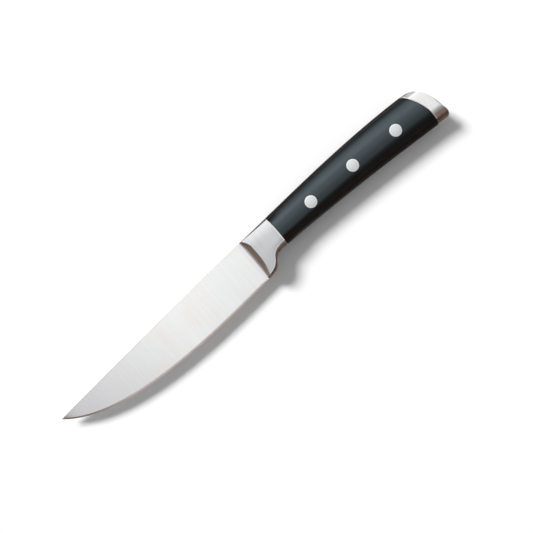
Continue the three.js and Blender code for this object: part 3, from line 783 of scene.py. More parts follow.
def blend_colour(tree, factor, first, second):
    """One colour turning into another."""
    node = add_node(tree, "ShaderNodeMix", data_type="RGBA")
    for socket, value in zip((node.inputs[0], node.inputs[6], node.inputs[7]), (factor, first, second)):
        if isinstance(value, bpy.types.NodeSocket):
            tree.links.new(value, socket)
        else:
            socket.default_value = value
    return node.outputs[2]


def rgba(colour):
    """A colour with full cover."""
    return (*colour, 1)


def step(tree, value, low, high):
    """A value that runs from 0 to 1 over a range."""
    return spread(tree, value, low, high, 0.0, 1.0)


def noise(tree, place, scale, detail):
    """The output of a Noise node."""
    inputs = {"Vector": place, "Scale": scale, "Detail": detail}
    return add_node(tree, "ShaderNodeTexNoise", inputs).outputs["Fac"]


def object_place(tree):
    """The place of a shaded point in its piece's own frame."""
    return add_node(tree, "ShaderNodeTexCoord").outputs["Object"]


def brushed_group():
    """Node group of a brushed surface: fine lines across the knife, coarser strokes and soft patches."""
    tree = bpy.data.node_groups.new("brushed grain", "ShaderNodeTree")
    sockets = tree.interface
    for name, value in (("Lines", 5000.0), ("Strokes", 2400.0), ("Length", 45.0), ("Patches", 70.0)):
        socket = sockets.new_socket(name, in_out="INPUT", socket_type="NodeSocketFloat")
        socket.default_value = value
    for name in ("Grain", "Stroke", "Patch"):
        sockets.new_socket(name, in_out="OUTPUT", socket_type="NodeSocketFloat")
    given = add_node(tree, "NodeGroupInput").outputs
    place = object_place(tree)

    def stretched(lines):
        inputs = {"X": lines, "Y": given["Length"], "Z": given["Length"]}
        scale = add_node(tree, "ShaderNodeCombineXYZ", inputs).outputs[0]
        spot = add_node(tree, "ShaderNodeVectorMath", {0: place, 1: scale}, operation="MULTIPLY")
        return noise(tree, spot.outputs[0], 1.0, 2.0)

    made = {
        "Grain": stretched(given["Lines"]),
        "Stroke": stretched(given["Strokes"]),
        "Patch": noise(tree, place, given["Patches"], 3.0),
    }
    add_node(tree, "NodeGroupOutput", made)
    return tree


def brushed_node(tree):
    """The brushed surface in a finish. Its node group is built once and then shared."""
    group = bpy.data.node_groups.get("brushed grain") or brushed_group()
    return add_node(tree, "ShaderNodeGroup", node_tree=group)


def lay_steel(tree, steel, base, shade):
    """Makes a shader bare metal with a base colour that is scaled by a shade."""
    shaded = add_node(tree, "ShaderNodeVectorMath", {0: base, "Scale": shade}, operation="SCALE")
    tree.links.new(shaded.outputs[0], steel.inputs["Base Color"])
    steel.inputs["Metallic"].default_value = 1


def new_material(name):
    """A material with a bare Principled shader, its tree and that shader."""
    material = bpy.data.materials.new(name)
    material.use_nodes = True
    tree = material.node_tree
    return material, tree, tree.nodes["Principled BSDF"]


def bump(tree, height, strength, distance, normal=None):
    """A normal bent by a height."""
    inputs = {"Height": height, "Strength": strength, "Distance": distance}
    if normal is not None:
        inputs["Normal"] = normal
    return add_node(tree, "ShaderNodeBump", inputs).outputs["Normal"]


def lifted(tree):
    """The normal bent by the lift that a piece keeps, a height in metres."""
    return bump(tree, mask_value(tree, "lift"), 1.0, 1.0)


def blade_finish(colour, bolster_front):
    """Satin steel, ground across the blade: fine lines, faint warm patches, a grey tip, a grey band of
    painted shade ahead of the bolster and a bevel tinted by painted reflection.
    """
    material, tree, steel = new_material("satin blade steel")
    brushed = brushed_node(tree).outputs
    along = add_node(tree, "ShaderNodeSeparateXYZ", {0: object_place(tree)}).outputs["X"]
    bevel = mask_value(tree, "bevel")
    from_tip = step(tree, along, cad_low.x + TIP_GREY[0], cad_low.x + TIP_GREY[1])
    past_tip = step(tree, along, cad_low.x + TIP_BEVEL_REFLECTION[0], cad_low.x + TIP_BEVEL_REFLECTION[1])
    warm = step(tree, brushed["Patch"], *WARM_PATCHES)
    base = blend_colour(tree, warm, rgba(colour.blade_steel), rgba(colour.blade_warm))
    # Painted shade: a greyer band where the blade meets the bolster
    band = step(tree, along, bolster_front - BOLSTER_SHADE_BAND[0], bolster_front - BOLSTER_SHADE_BAND[1])
    base = blend_colour(tree, band, base, rgba(colour.blade_shade_band))
    base = blend_colour(tree, from_tip, rgba(colour.blade_tip), base)
    # Painted reflection on the bevel: dark brown near the tip, pink further back
    strip = blend_colour(tree, past_tip, rgba(colour.bevel_tip_painted_reflection), rgba(colour.bevel_painted_reflection))
    base = blend_colour(tree, bevel, base, strip)
    lines = math_node(tree, "ADD", brushed["Grain"], brushed["Stroke"])
    lay_steel(tree, steel, base, spread(tree, lines, *BLADE_LINES, *BLADE_SHADES))
    satin = spread(tree, lines, *BLADE_LINES, *BLADE_ROUGHNESS)
    rough = math_node(tree, "MULTIPLY_ADD", bevel, BEVEL_ROUGHENING, satin)
    tree.links.new(rough, steel.inputs["Roughness"])
    tree.links.new(bump(tree, lines, BLADE_GRAIN, GRAIN_DEPTH), steel.inputs["Normal"])
    return material


def bolster_finish(name, colour, side, side_painted_lit):
    """Fine satin steel: painted light towards the back, painted highlights on the lips, darker painted
    reflection on polished strips and brown painted reflection in the scoop.
    """
    material, tree, steel = new_material(name)
    group = brushed_node(tree)
    group.inputs["Patches"].default_value = FINE_PATCHES
    brushed = group.outputs
    height = add_node(tree, "ShaderNodeSeparateXYZ", {0: object_place(tree)}).outputs["Y"]
    lip = mask_value(tree, "lip")
    scoop = mask_value(tree, "scoop")
    # Painted light: the sides turn lighter towards the back, where they face the soft box
    base = blend_colour(tree, step(tree, height, *PAINTED_LIGHT_RISE), rgba(side), rgba(side_painted_lit))
    # Painted reflection: purple-grey where the scoop leaves the blade, then brown over the scoop
    base = blend_colour(tree, step(tree, scoop, *FILLET_REFLECTION_TONE), base, rgba(colour.scoop_fillet))
    base = blend_colour(tree, step(tree, scoop, *SCOOP_REFLECTION_TONE), base, rgba(colour.scoop_reflection_brown))
    # Painted highlight along the lips
    base = blend_colour(tree, lip, base, rgba(colour.lip_painted_highlight))
    # Darker steel on the polished strips: painted reflection
    at_back = step(tree, mask_value(tree, "back"), *BACK_STRIP_REFLECTION_TONE)
    at_belly = step(tree, mask_value(tree, "strip"), *BELLY_STRIP_REFLECTION_TONE)
    on_strip = math_node(tree, "MAXIMUM", at_belly, at_back)
    base = blend_colour(tree, on_strip, base, rgba(colour.strip_reflection_steel))
    lines = math_node(tree, "ADD", brushed["Grain"], brushed["Stroke"])
    lines = math_node(tree, "ADD", lines, brushed["Patch"])
    lay_steel(tree, steel, base, spread(tree, lines, *BOLSTER_LINES, *BOLSTER_SHADES))
    satin = spread(tree, lines, *BOLSTER_LINES, *BOLSTER_ROUGHNESS)
    rough = math_node(tree, "MULTIPLY_ADD", lip, LIP_ROUGHENING, satin)
    rough = math_node(tree, "MULTIPLY_ADD", on_strip, STRIP_POLISH, rough)
    tree.links.new(rough, steel.inputs["Roughness"])
    normal = bump(tree, lines, BOLSTER_GRAIN, GRAIN_DEPTH, lifted(tree))
    tree.links.new(normal, steel.inputs["Normal"])
    return material


def rivet_finish(colour):
    """Steel heads ground level, with fine lines, a faint ring and a lighter rim."""
    material, tree, steel = new_material("ground rivet steel")
    brushed = brushed_node(tree).outputs
    lines = math_node(tree, "ADD", brushed["Grain"], brushed["Patch"])
    radius = mask_value(tree, "radius")
    from_ring = math_node(tree, "ABSOLUTE", math_node(tree, "SUBTRACT", radius, RING))
    on_ring = spread(tree, from_ring, 0.0, RING_WIDTH, 1.0, 0.0)
    base = blend_colour(tree, step(tree, radius, *RIM), rgba(colour.rivet_steel), rgba(colour.rivet_rim))
    base = blend_colour(tree, on_ring, base, rgba(colour.rivet_ring))
    lay_steel(tree, steel, base, spread(tree, lines, *RIVET_LINES, *RIVET_SHADES))
    tree.links.new(spread(tree, lines, *RIVET_LINES, *RIVET_ROUGHNESS), steel.inputs["Roughness"])
    tree.links.new(bump(tree, lines, RIVET_GRAIN, GRAIN_DEPTH), steel.inputs["Normal"])
    return material


def grip_finish(colour):
    """Black moulded plastic with a satin skin: a fine grain, a soft change of gloss and strips browned by
    painted reflection.
    """
    material, tree, plastic = new_material("satin black grip")
    place = object_place(tree)
    grain = noise(tree, place, GRIP_SKIN, 2.0)
    cloud = noise(tree, place, GRIP_CLOUDS, 3.0)
    lighter = [channel * GRIP_LIGHTER for channel in colour.grip_black]
    shade = step(tree, cloud, *GRIP_LIGHTER_CLOUDS)
    base = blend_colour(tree, shade, rgba(colour.grip_black), rgba(lighter))
    # Painted reflection: brown over the strips and an orange-brown line along the back
    on_strip = step(tree, mask_value(tree, "strip"), *GRIP_RIM_REFLECTION)
    base = blend_colour(tree, on_strip, base, rgba(colour.grip_rim_reflection))
    at_back = step(tree, mask_value(tree, "back"), *GRIP_LINE_REFLECTION)
    base = blend_colour(tree, at_back, base, rgba(colour.grip_line_reflection))
    tree.links.new(base, plastic.inputs["Base Color"])
    rough = spread(tree, cloud, *GRIP_ROUGHER_CLOUDS, *GRIP_ROUGHNESS)
    tree.links.new(rough, plastic.inputs["Roughness"])
    plastic.inputs["Specular IOR Level"].default_value = GRIP_GLOSS
    plastic.inputs["Specular Tint"].default_value = rgba(GRIP_GLOSS_TINT)
    normal = bump(tree, grain, GRIP_GRAIN, GRAIN_DEPTH, lifted(tree))
    tree.links.new(normal, plastic.inputs["Normal"])
    return material


def table_finish(colour):
    """The pale table top, with the faintest change of tone."""
    material, tree, top = new_material("pale table top")
    cloud = noise(tree, object_place(tree), TABLE_CLOUDS, 2.0)
    duller = [channel * TABLE_DULLER for channel in colour.table]
    base = blend_colour(tree, cloud, rgba(colour.table), rgba(duller))
    tree.links.new(base, top.inputs["Base Color"])
    top.inputs["Roughness"].default_value = TABLE_ROUGHNESS
    top.inputs["Specular IOR Level"].default_value = TABLE_GLOSS
    return material


def face_values(piece, kind):
    """The middles or the normals of a piece's faces."""
    values = np.empty(len(piece.data.polygons) * 3, dtype=np.float32)
    piece.data.polygons.foreach_get(kind, values)
    return values.reshape(-1, 3)


def point_places(piece):
    """The points of a piece."""
    values = np.empty(len(piece.data.vertices) * 3, dtype=np.float32)
    piece.data.vertices.foreach_get("co", values)
    return values.reshape(-1, 3)


def keep_mask(piece, name, values, domain="FACE"):
    """Keeps a value for each face or point of a piece, for its finish to read."""
    mask = piece.data.attributes.new(name, "FLOAT", domain)
    mask.data.foreach_set("value", values.astype(np.float32))


def make_blade(knife):
    """Blade and full tang in one surface: sections of the grind, and behind the plunge the plain blank."""
    view = SideView(knife)
    blade = knife.blade
    tang_start = view.plunge_end
    runout_start = knife.bolster.scoop_start - blade.bevel_runout
    from_tip = np.linspace(0, 1, BLADE_COLUMNS) ** TIP_CROWDING
    x_blade = between(-blade.length, runout_start, from_tip)
    to_tang = (1 - np.linspace(0, 1, PLUNGE_COLUMNS)[1:]) ** 2
    x_plunge = between(tang_start, runout_start, to_tang)
    x_blade = np.concatenate([x_blade, x_plunge])
    spine, edge, ease, bevel, spine_half, shoulder_half, edge_half = view.grind(x_blade)
    flat_rows = np.linspace(0, 1, BLADE_ROWS)[:, None]
    flat_y = between(spine - ease, edge + bevel, flat_rows)
    flat_z = between(spine_half, shoulder_half, flat_rows)
    blade_y = np.concatenate([spine[None], flat_y, edge[None]])
    blade_z = np.concatenate([(spine_half - ease)[None], flat_z, edge_half[None]])

    rows = blade_y.shape[0]
    drop = (blade_y[:, -1] - blade_y[0, -1]) / (blade_y[-1, -1] - blade_y[0, -1])
    tang_end = np.full(rows, view.cap_seat)
    radius = knife.cap.seat_radius - knife.handle.joint
    for _ in range(SOLVE_STEPS):
        tang_end = on_bow(view.cap_bow, radius, between(view.back(tang_end), view.belly(tang_end), drop))
    x_tang = between(tang_start, tang_end[:, None], np.linspace(0, 1, TANG_COLUMNS)[None, 1:])
    tang_y = between(view.back(x_tang), view.belly(x_tang), drop[:, None])
    tang_z = np.full_like(tang_y, view.half_blank)

    x = np.concatenate([np.broadcast_to(x_blade, blade_y.shape), x_tang], axis=1)
    y = np.concatenate([blade_y, tang_y], axis=1)
    z = np.concatenate([blade_z, tang_z], axis=1)
    left = np.stack([x, y, z], axis=2)
    left[:, 0] = (-blade.length, 0, 0)
    piece = piece_between("blade", left, mirrored(left), view)
    drill(piece, view, [(knife.rivet.sleeve + 2 * knife.rivet.hole, -view.half_handle, view.half_handle)])
    places = face_values(piece, "center") - view.place
    spine, edge, ease, bevel, *_ = view.grind(places[:, 0])
    on_edge = places[:, 1] < edge + bevel
    on_spine = places[:, 1] > spine - ease
    # The bevel, and the eased spine at a share, get the bevel's painted reflection
    keep_mask(piece, "bevel", (on_edge + SPINE_PAINTED_REFLECTION * on_spine) * (places[:, 0] < tang_start))
    finish = blade_finish(knife.colour, view.place[0] + knife.bolster.scoop_start)
    finish_piece(piece, finish, ["blade_and_tang"], crease=6)


def softening(view, places, back_slope, belly_slope):
    """A height that grows over each strip towards the outline, by a slope times the strip's own width."""
    back_strip, belly_strip, back_fall, belly_fall = view.strips(places[:, 0])
    to_back, to_belly = view.strip_share(places[:, 0], places[:, 1])
    rise = view.half_thickness(places[:, 0]) - view.bond_face
    back_width = np.hypot(back_strip, rise - back_fall)
    belly_width = np.hypot(belly_strip, rise - belly_fall)
    back_lift = back_slope * back_width * np.maximum(0, to_back)
    return back_lift + belly_slope * belly_width * np.maximum(0, to_belly)


def make_bolster(knife):
    """The two cheeks of the bolster.

    Each row runs along the handle's side from the thin lip on the blade to the bowed rear end. Up to the
    crease where the scoop meets the side its height is that of the scoop, and behind it that of the side.
    """
    view = SideView(knife)
    bolster = knife.bolster
    across = np.linspace(0, 1, SIDE_ROWS)[:, None]
    low = np.full_like(across, bolster.scoop_start)
    high = np.full_like(across, bolster.length)
    for _ in range(SOLVE_STEPS):
        middle = (low + high) / 2
        y, z = view.side(middle, across, view.bond_face)
        above = z > view.scoop(middle, y)
        low = np.where(above, middle, low)
        high = np.where(above, high, middle)
    crease = low
    rear = view.meet_bow(across, view.bolster_bow, bolster.rear_radius, view.bond_face)
    scooped = between(bolster.scoop_start, crease, np.linspace(0, 1, SCOOP_COLUMNS)[None, :])
    shares = eased_shares(CHEEK_COLUMNS, rear - crease, knife.handle.steel_ease)
    behind = between(crease, rear, shares[:, 1:])
    x = np.concatenate([scooped, behind], axis=1)
    y, side_z = view.side(x, across, view.bond_face)
    seat = view.ground(x, y) + knife.handle.bond
    z = np.minimum(side_z, view.scoop(x, y))
    z = np.maximum(seat, z - drop_at_edge(rear - x, knife.handle.steel_ease))
    outer = np.stack([x, y, z], axis=2)
    inner = np.stack([x, y, seat], axis=2)
    colour = knife.colour
    finish = bolster_finish("satin bolster steel", colour, colour.bolster_steel, colour.bolster_painted_light)
    for name, upper, lower in (("left", outer, inner), ("right", mirrored(inner), mirrored(outer))):
        piece = piece_between(f"bolster_cheek_{name}", upper, lower, view)
        at_x, at_y, at_z = (face_values(piece, "center") - view.place).T
        off_scoop = np.abs(np.abs(at_z) - view.scoop(at_x, at_y))
        on_scoop = (off_scoop < SCOOP_TOLERANCE) & (at_x < bolster.length / 2)
        from_lip = np.clip(view.scoop_share(at_x, at_y), 0, 1)
        to_back, to_belly = view.strip_share(at_x, at_y)
        # Painted highlight: the lip covers the rear edge and a thin line at the belly's crisp edge, but not
        # the scoop
        end_x = on_bow(view.bolster_bow, bolster.rear_radius, at_y)
        at_end = end_x - at_x < BOLSTER_HIGHLIGHT_LIP * knife.handle.steel_ease
        at_belly = BELLY_HIGHLIGHT_LIP * fade(to_belly, *BELLY_HIGHLIGHT_REACH)
        # The back and strip masks give the strips their darker painted reflection and their polish
        keep_mask(piece, "back", np.maximum(to_back, 0))
        keep_mask(piece, "strip", np.maximum(to_belly, 0))
        keep_mask(piece, "lip", np.maximum(at_end, at_belly) * ~on_scoop)
        # The scoop mask carries the scoop's painted brown reflection
        keep_mask(piece, "scoop", on_scoop * between(SCOOP_REFLECTION_START, 1, from_lip))
        points = point_places(piece) - view.place
        lift = softening(view, points, bolster.strip_soften, bolster.strip_soften)
        keep_mask(piece, "lift", lift, "POINT")
        finish_piece(piece, finish, [f"bolster_{name}"], crease=32)


def make_grips(knife):
    """The two grips: the handle's side between the bows of bolster and cap, over a flat inner face."""
    view = SideView(knife)
    handle = knife.handle
    across = np.linspace(0, 1, SIDE_ROWS)[:, None]
    front_radius = knife.bolster.rear_radius + handle.joint
    front = view.meet_bow(across, view.bolster_bow, front_radius, view.bond_face)
    rear_radius = knife.cap.seat_radius - handle.joint
    rear = view.meet_bow(across, view.cap_bow, rear_radius, view.bond_face)
    length = rear - front
    half = eased_shares(GRIP_COLUMNS // 2, length / 2, handle.grip_ease) / 2
    shares = np.concatenate([0.5 - half[:, ::-1], 0.5 + half[:, 1:]], axis=1)
    x = front + length * shares
    y, z = view.side(x, across, view.bond_face)
    off_line = np.abs(y - view.rivet_line(x))
    crown = handle.grip_crown / (view.half_handle - view.bond_face)
    z = view.bond_face + (z - view.bond_face) * (1 - crown * fade(off_line, 0, handle.grip_crown_reach))
    from_end = np.minimum(x - front, rear - x)
    z = np.maximum(view.bond_face, z - drop_at_edge(from_end, handle.grip_ease))
    outer = np.stack([x, y, z], axis=2)
    inner = np.stack([x, y, np.full_like(z, view.bond_face)], axis=2)
    seat = view.half_handle - knife.rivet.head_depth - knife.rivet.hole
    room = 2 * knife.rivet.hole
    finish = grip_finish(knife.colour)
    for name, upper, lower in (("left", outer, inner), ("right", mirrored(inner), mirrored(outer))):
        piece = piece_between(f"grip_scale_{name}", upper, lower, view)
        sign = 1 if name == "left" else -1
        well = sorted([sign * seat, sign * 2 * view.half_handle])
        drill(piece, view, [
            (knife.rivet.sleeve + room, -view.half_handle, view.half_handle),
            (knife.rivet.head + room, well[0], well[1]),
        ])
        places = face_values(piece, "center") - view.place
        to_back, to_belly = view.strip_share(places[:, 0], places[:, 1])
        # These masks carry the grips' painted brown reflection on the strips
        keep_mask(piece, "back", np.maximum(to_back, 0))
        keep_mask(piece, "strip", np.maximum(np.maximum(to_back, to_belly), 0))
        points = point_places(piece) - view.place
        as_made = view.side_height(points[:, 0], points[:, 1], view.bond_face)
        rounded = view.side_height(points[:, 0], points[:, 1], view.bond_face, handle.shaded_slope)
        lift = softening(view, points, handle.back_soften, handle.belly_soften) + rounded - as_made
        keep_mask(piece, "lift", lift, "POINT")
        finish_piece(piece, finish, [f"grip_{name}"], crease=18)


def make_cap(knife):
    """The end cap: rows run from points of the bowed seat to points of the outline round the butt.

    Its height is the handle's side, lowered round the butt by a rounded rim.
    """
    view = SideView(knife)
    handle, cap = knife.handle, knife.cap
    ends = view.meet_bow(np.array([0.0, 1.0]), view.cap_bow, cap.seat_radius, view.half_blank)
    back_x = np.linspace(ends[0], view.butt_top[0], OUTLINE_POINTS)
    back = np.stack([back_x, view.back(back_x)], axis=1)
    turn_angle = np.linspace(0, -math.pi / 2, OUTLINE_POINTS)
    corner_x = view.butt_foot[0] - handle.butt_corner + handle.butt_corner * np.cos(turn_angle)
    corner_y = view.butt_foot[1] + handle.butt_corner * np.sin(turn_angle)
    corner = np.stack([corner_x, corner_y], axis=1)
    belly_x = np.linspace(corner[-1, 0], ends[1], OUTLINE_POINTS)
    belly = np.stack([belly_x, view.belly(belly_x)], axis=1)
    outline = np.concatenate([back, view.butt_line[1:], corner[1:], belly[1:]])
    steps = np.linalg.norm(np.diff(outline, axis=0), axis=1)
    travelled = np.concatenate([[0], np.cumsum(steps)]) / steps.sum()
    rows = np.linspace(0, 1, CAP_ROWS)
    rim = np.stack([np.interp(rows, travelled, outline[:, k]) for k in (0, 1)], axis=1)
    seat_y = between(outline[0, 1], outline[-1, 1], rows)
    seat = np.stack([on_bow(view.cap_bow, cap.seat_radius, seat_y), seat_y], axis=1)

    shares = 1 - (1 - np.linspace(0, 1, CAP_COLUMNS)) ** 2
    xy = seat[:, None, :] + (rim - seat)[:, None, :] * shares[None, :, None]
    near = outline[::OUTLINE_STRIDE]
    from_rim = np.min(np.linalg.norm(xy[:, :, None, :] - near[None, None, :, :], axis=3), axis=2)
    inset = np.clip(cap.edge - from_rim, 0, cap.edge)
    rim_height = view.half_handle - cap.edge + np.sqrt(cap.edge**2 - inset**2)
    side_height = view.side_height(xy[:, :, 0], xy[:, :, 1], view.half_blank)
    from_seat = np.linalg.norm(xy - seat[:, None, :], axis=2)
    z = np.minimum(side_height, rim_height) - drop_at_edge(from_seat, handle.steel_ease)
    left = np.concatenate([xy, np.maximum(z, view.half_blank)[:, :, None]], axis=2)
    piece = piece_between("end_cap_shell", left, mirrored(left), view)
    places = face_values(piece, "center") - view.place
    _, to_belly = view.strip_share(places[:, 0], places[:, 1])
    # Painted highlight at the seat's lip and on faces leaning towards the butt, round its rim
    seat_x = on_bow(view.cap_bow, cap.seat_radius, places[:, 1])
    at_seat = places[:, 0] - seat_x < CAP_HIGHLIGHT_LIP * handle.steel_ease
    leaning = face_values(piece, "normal")[:, 0] > CAP_HIGHLIGHT_LEAN
    keep_mask(piece, "lip", (at_seat | leaning) & (to_belly <= 0))
    points = point_places(piece) - view.place
    to_back, to_belly = view.strip_share(points[:, 0], points[:, 1])
    # The back and strip masks give the cap's strips their darker painted reflection
    keep_mask(piece, "back", np.clip(2 * to_back - 1, 0, 1), "POINT")
    keep_mask(piece, "strip", np.clip(CAP_STRIP_REFLECTION_MARK + CAP_STRIP_REFLECTION_SLOPE * to_belly, 0, 1), "POINT")
    # Painted reflection: the cap's side turns brown towards the belly, through the scoop mask
    brown = CAP_REFLECTION_BROWN_MARK + CAP_REFLECTION_BROWN_SLOPE * np.minimum(0, to_belly)
    keep_mask(piece, "scoop", np.clip(brown, 0, 1), "POINT")
    fallen = level_off(view.half_handle - np.abs(points[:, 2]), cap.soften_depth, cap.soften_end)
    off_line = points[:, 1] - view.rivet_line(points[:, 0])
    backward = fade(off_line, -handle.side_flat / 2, handle.side_flat / 2)
    lift = cap.soften * fallen * backward + softening(view, points, handle.back_soften, cap.strip_soften)
    keep_mask(piece, "lift", lift, "POINT")
    colour = knife.colour
    finish = bolster_finish("satin cap steel", colour, colour.cap_steel, colour.cap_steel)
    finish_piece(piece, finish, ["end_cap"], crease=40)


def rounded_corner(radius, height, ease):
    """Points of a head's rim in profile: a quarter circle from its side up to its face."""
    angles = np.linspace(0, math.pi / 2, ROUND_STEPS)
    return np.stack([radius - ease + ease * np.cos(angles), height - ease + ease * np.sin(angles)], axis=1)


def make_rivets(knife):
    """Three rivets: each a post with a head on the left, pressed into a sleeve with a head on the right."""
    view = SideView(knife)
    rivet = knife.rivet
    seat = view.half_handle - rivet.head_depth
    rim = rounded_corner(rivet.head / 2, view.half_handle, rivet.ease)
    post_end = rivet.post_gap - seat
    post = np.concatenate([
        [[0, post_end], [rivet.post / 2, post_end], [rivet.post / 2, seat], [rivet.head / 2, seat]],
        rim,
        [[0, view.half_handle]],
    ])
    bore = rivet.post / 2 + rivet.hole
    mouth = seat - rivet.sleeve_gap
    sleeve = np.concatenate([
        [[0, -view.half_handle]],
        rim[::-1] * np.array([1, -1]),
        [[rivet.head / 2, -seat], [rivet.sleeve / 2, -seat], [rivet.sleeve / 2, mouth]],
        [[bore, mouth], [bore, -seat], [0, -seat]],
    ])
    finish = rivet_finish(knife.colour)
    for name, place in zip(RIVET_NAMES, view.rivet_places()):
        for half, profile in (("post", post), ("sleeve", sleeve)):
            points, faces = turned_points(profile, place)
            piece = mesh_piece(f"rivet_{half}_{name}", points + view.place, faces)
            off_axis = point_places(piece)[:, :2] - view.place[:2] - place
            keep_mask(piece, "radius", np.linalg.norm(off_axis, axis=1) / (rivet.head / 2), "POINT")
            finish_piece(piece, finish, [f"rivet_{name}_{half}"], crease=30)


def add_glow(tree, away, colour, light):
    """Light with a glow added to it: a bell curve, from the square of the way from its middle."""
    bell = math_node(tree, "EXPONENT", math_node(tree, "MULTIPLY", away, -1.0))
    inputs = {0: bell, 1: colour, 2: light}
    return add_node(tree, "ShaderNodeVectorMath", inputs, operation="MULTIPLY_ADD").outputs[0]


def make_world():
    """What the steel and the plastic mirror, while the camera itself sees white.

    A long soft box glows above the spine's side, narrower on its far side, and fades into a dim warm room.
    A brown glow lies low on the belly's side, and the walls are pale near the horizon.
    """
    world = bpy.data.worlds.new("soft studio")
    bpy.context.scene.world = world
    world.use_nodes = True
    world.cycles_visibility.diffuse = False
    tree = world.node_tree
    tree.nodes.clear()
    towards = add_node(tree, "ShaderNodeTexCoord").outputs["Generated"]
    way = add_node(tree, "ShaderNodeSeparateXYZ", {0: towards}).outputs
    turned = math_node(tree, "ARCTAN2", way["Y"], way["Z"])
    off_aim = math_node(tree, "SUBTRACT", turned, BOX_AIM)
    near_side = math_node(tree, "DIVIDE", off_aim, -BOX_NEAR)
    far_side = math_node(tree, "DIVIDE", off_aim, BOX_FAR)
    across = math_node(tree, "MAXIMUM", near_side, far_side)
    along = math_node(tree, "DIVIDE", math_node(tree, "ARCSINE", way["X"]), BOX_LENGTH)
    away = math_node(tree, "ADD", math_node(tree, "POWER", across, 2.0), math_node(tree, "POWER", along, 2.0))
    light = add_glow(tree, away, BOX_LIGHT, ROOM_LIGHT)
    off_brown = math_node(tree, "DIVIDE", math_node(tree, "SUBTRACT", turned, BROWN_AIM), BROWN_WIDTH)
    light = add_glow(tree, math_node(tree, "POWER", off_brown, 2.0), BROWN_LIGHT, light)
    low_down = spread(tree, math_node(tree, "ARCSINE", way["Z"]), WALL_FULL, WALL_END, 1.0, 0.0)
    light = blend_colour(tree, low_down, light, rgba(WALL_LIGHT))
    seen = add_node(tree, "ShaderNodeLightPath").outputs["Is Camera Ray"]
    light = blend_colour(tree, seen, light, rgba(WHITE))
    background = add_node(tree, "ShaderNodeBackground", {"Color": light, "Strength": 1.0})
    add_node(tree, "ShaderNodeOutputWorld", {"Surface": background.outputs[0]})


def add_lamp(name, strength, spread_angle, direction):
    """A distant lamp that lights the knife and the table but is not itself mirrored by them."""
    lamp = bpy.data.lights.new(name, "SUN")
    lamp.energy = strength
    lamp.angle = math.radians(spread_angle)
    holder = bpy.data.objects.new(name, lamp)
    holder.rotation_euler = Vector(direction).to_track_quat("-Z", "Y").to_euler()
    holder.visible_glossy = False
    bpy.context.scene.collection.objects.link(holder)


def make_stage(knife):
    """The pale table, its surroundings, a lamp for the shadow, a wide one to fill it and the camera."""
    corners = ((-1, -1), (1, -1), (1, 1), (-1, 1))
    table_z = cad_low.z - TABLE_GAP
    mesh = bpy.data.meshes.new("table_top")
    mesh.from_pydata([(x * TABLE_REACH, y * TABLE_REACH, table_z) for x, y in corners], [], [(0, 1, 2, 3)])
    mesh.materials.append(table_finish(knife.colour))
    table = bpy.data.objects.new("table_top", mesh)
    bpy.context.scene.collection.objects.link(table)
    make_world()

    add_lamp("key", KEY_STRENGTH, KEY_SPREAD, KEY_WAY)
    add_lamp("fill", FILL_STRENGTH, FILL_SPREAD, FILL_WAY)

    lens = bpy.data.cameras.new("photo")
    lens.lens = LENS
    lens.sensor_width = SENSOR
    camera = bpy.data.objects.new("photo", lens)
    camera.location = (CAMERA_X, CAMERA_Y, (cad_low.z + cad_high.z) / 2 + CAMERA_HEIGHT)
    camera.rotation_euler = (0, 0, math.radians(CAMERA_TURN))
    bpy.context.scene.collection.objects.link(camera)
    bpy.context.scene.camera = camera
    bpy.context.scene.view_settings.view_transform = "Standard"


class KNIFE_OT_blade(bpy.types.Operator):
    """Make the blade with its tang"""

    bl_idname = "steak_knife.blade"
    bl_label = "Blade"

    def execute(self, context):
        make_blade(context.scene.steak_knife)
        return {"FINISHED"}


class KNIFE_OT_bolster(bpy.types.Operator):
    """Make the two cheeks of the bolster"""

    bl_idname = "steak_knife.bolster"
    bl_label = "Bolster"

    def execute(self, context):
        make_bolster(context.scene.steak_knife)
        return {"FINISHED"}


class KNIFE_OT_grips(bpy.types.Operator):
    """Make the two grips"""

    bl_idname = "steak_knife.grips"
    bl_label = "Grips"

    def execute(self, context):
        make_grips(context.scene.steak_knife)
        return {"FINISHED"}


class KNIFE_OT_cap(bpy.types.Operator):
    """Make the end cap"""

    bl_idname = "steak_knife.cap"
    bl_label = "End cap"

    def execute(self, context):
        make_cap(context.scene.steak_knife)
        return {"FINISHED"}


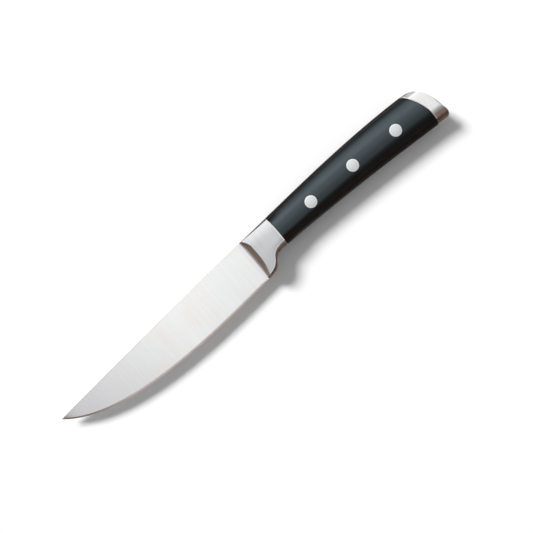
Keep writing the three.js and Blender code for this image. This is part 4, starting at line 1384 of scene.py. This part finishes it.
class KNIFE_OT_rivets(bpy.types.Operator):
    """Make the three rivets"""

    bl_idname = "steak_knife.rivets"
    bl_label = "Rivets"

    def execute(self, context):
        make_rivets(context.scene.steak_knife)
        return {"FINISHED"}


class KNIFE_OT_stage(bpy.types.Operator):
    """Make the table, the light and the camera"""

    bl_idname = "steak_knife.stage"
    bl_label = "Stage"

    def execute(self, context):
        make_stage(context.scene.steak_knife)
        return {"FINISHED"}


class KNIFE_PT_panel(bpy.types.Panel):
    """Lists the knife's pieces and its colours"""

    bl_idname = "KNIFE_PT_panel"
    bl_label = "Steak knife"
    bl_space_type = "VIEW_3D"
    bl_region_type = "UI"
    bl_category = "Knife"

    def draw(self, context):
        knife = context.scene.steak_knife
        for operator in OPERATORS:
            self.layout.operator(operator.bl_idname)
        for name in ("blade", "handle", "bolster", "cap", "rivet", "colour"):
            box = self.layout.box()
            group = getattr(knife, name)
            for key in group.bl_rna.properties.keys():
                if key not in ("rna_type", "name"):
                    box.prop(group, key)


GROUPS = (BladeSizes, HandleSizes, BolsterSizes, CapSizes, RivetSizes, KnifeColours, KnifeSettings)
OPERATORS = (KNIFE_OT_stage, KNIFE_OT_blade, KNIFE_OT_bolster, KNIFE_OT_grips, KNIFE_OT_cap, KNIFE_OT_rivets)
CLASSES = (*GROUPS, *OPERATORS, KNIFE_PT_panel)


def register():
    """Adds the add-on's classes and the knife's settings."""
    for cls in CLASSES:
        bpy.utils.register_class(cls)
    bpy.types.Scene.steak_knife = bpy.props.PointerProperty(
        type=KnifeSettings, name="Steak knife", description="Sizes and colours of the knife"
    )


def unregister():
    """Takes them away again."""
    del bpy.types.Scene.steak_knife
    for cls in reversed(CLASSES):
        bpy.utils.unregister_class(cls)


def main():
    """Makes the stage and every piece."""
    register()
    bpy.ops.steak_knife.stage()
    bpy.ops.steak_knife.blade()
    bpy.ops.steak_knife.bolster()
    bpy.ops.steak_knife.grips()
    bpy.ops.steak_knife.cap()
    bpy.ops.steak_knife.rivets()


if __name__ == "__main__":
    main()
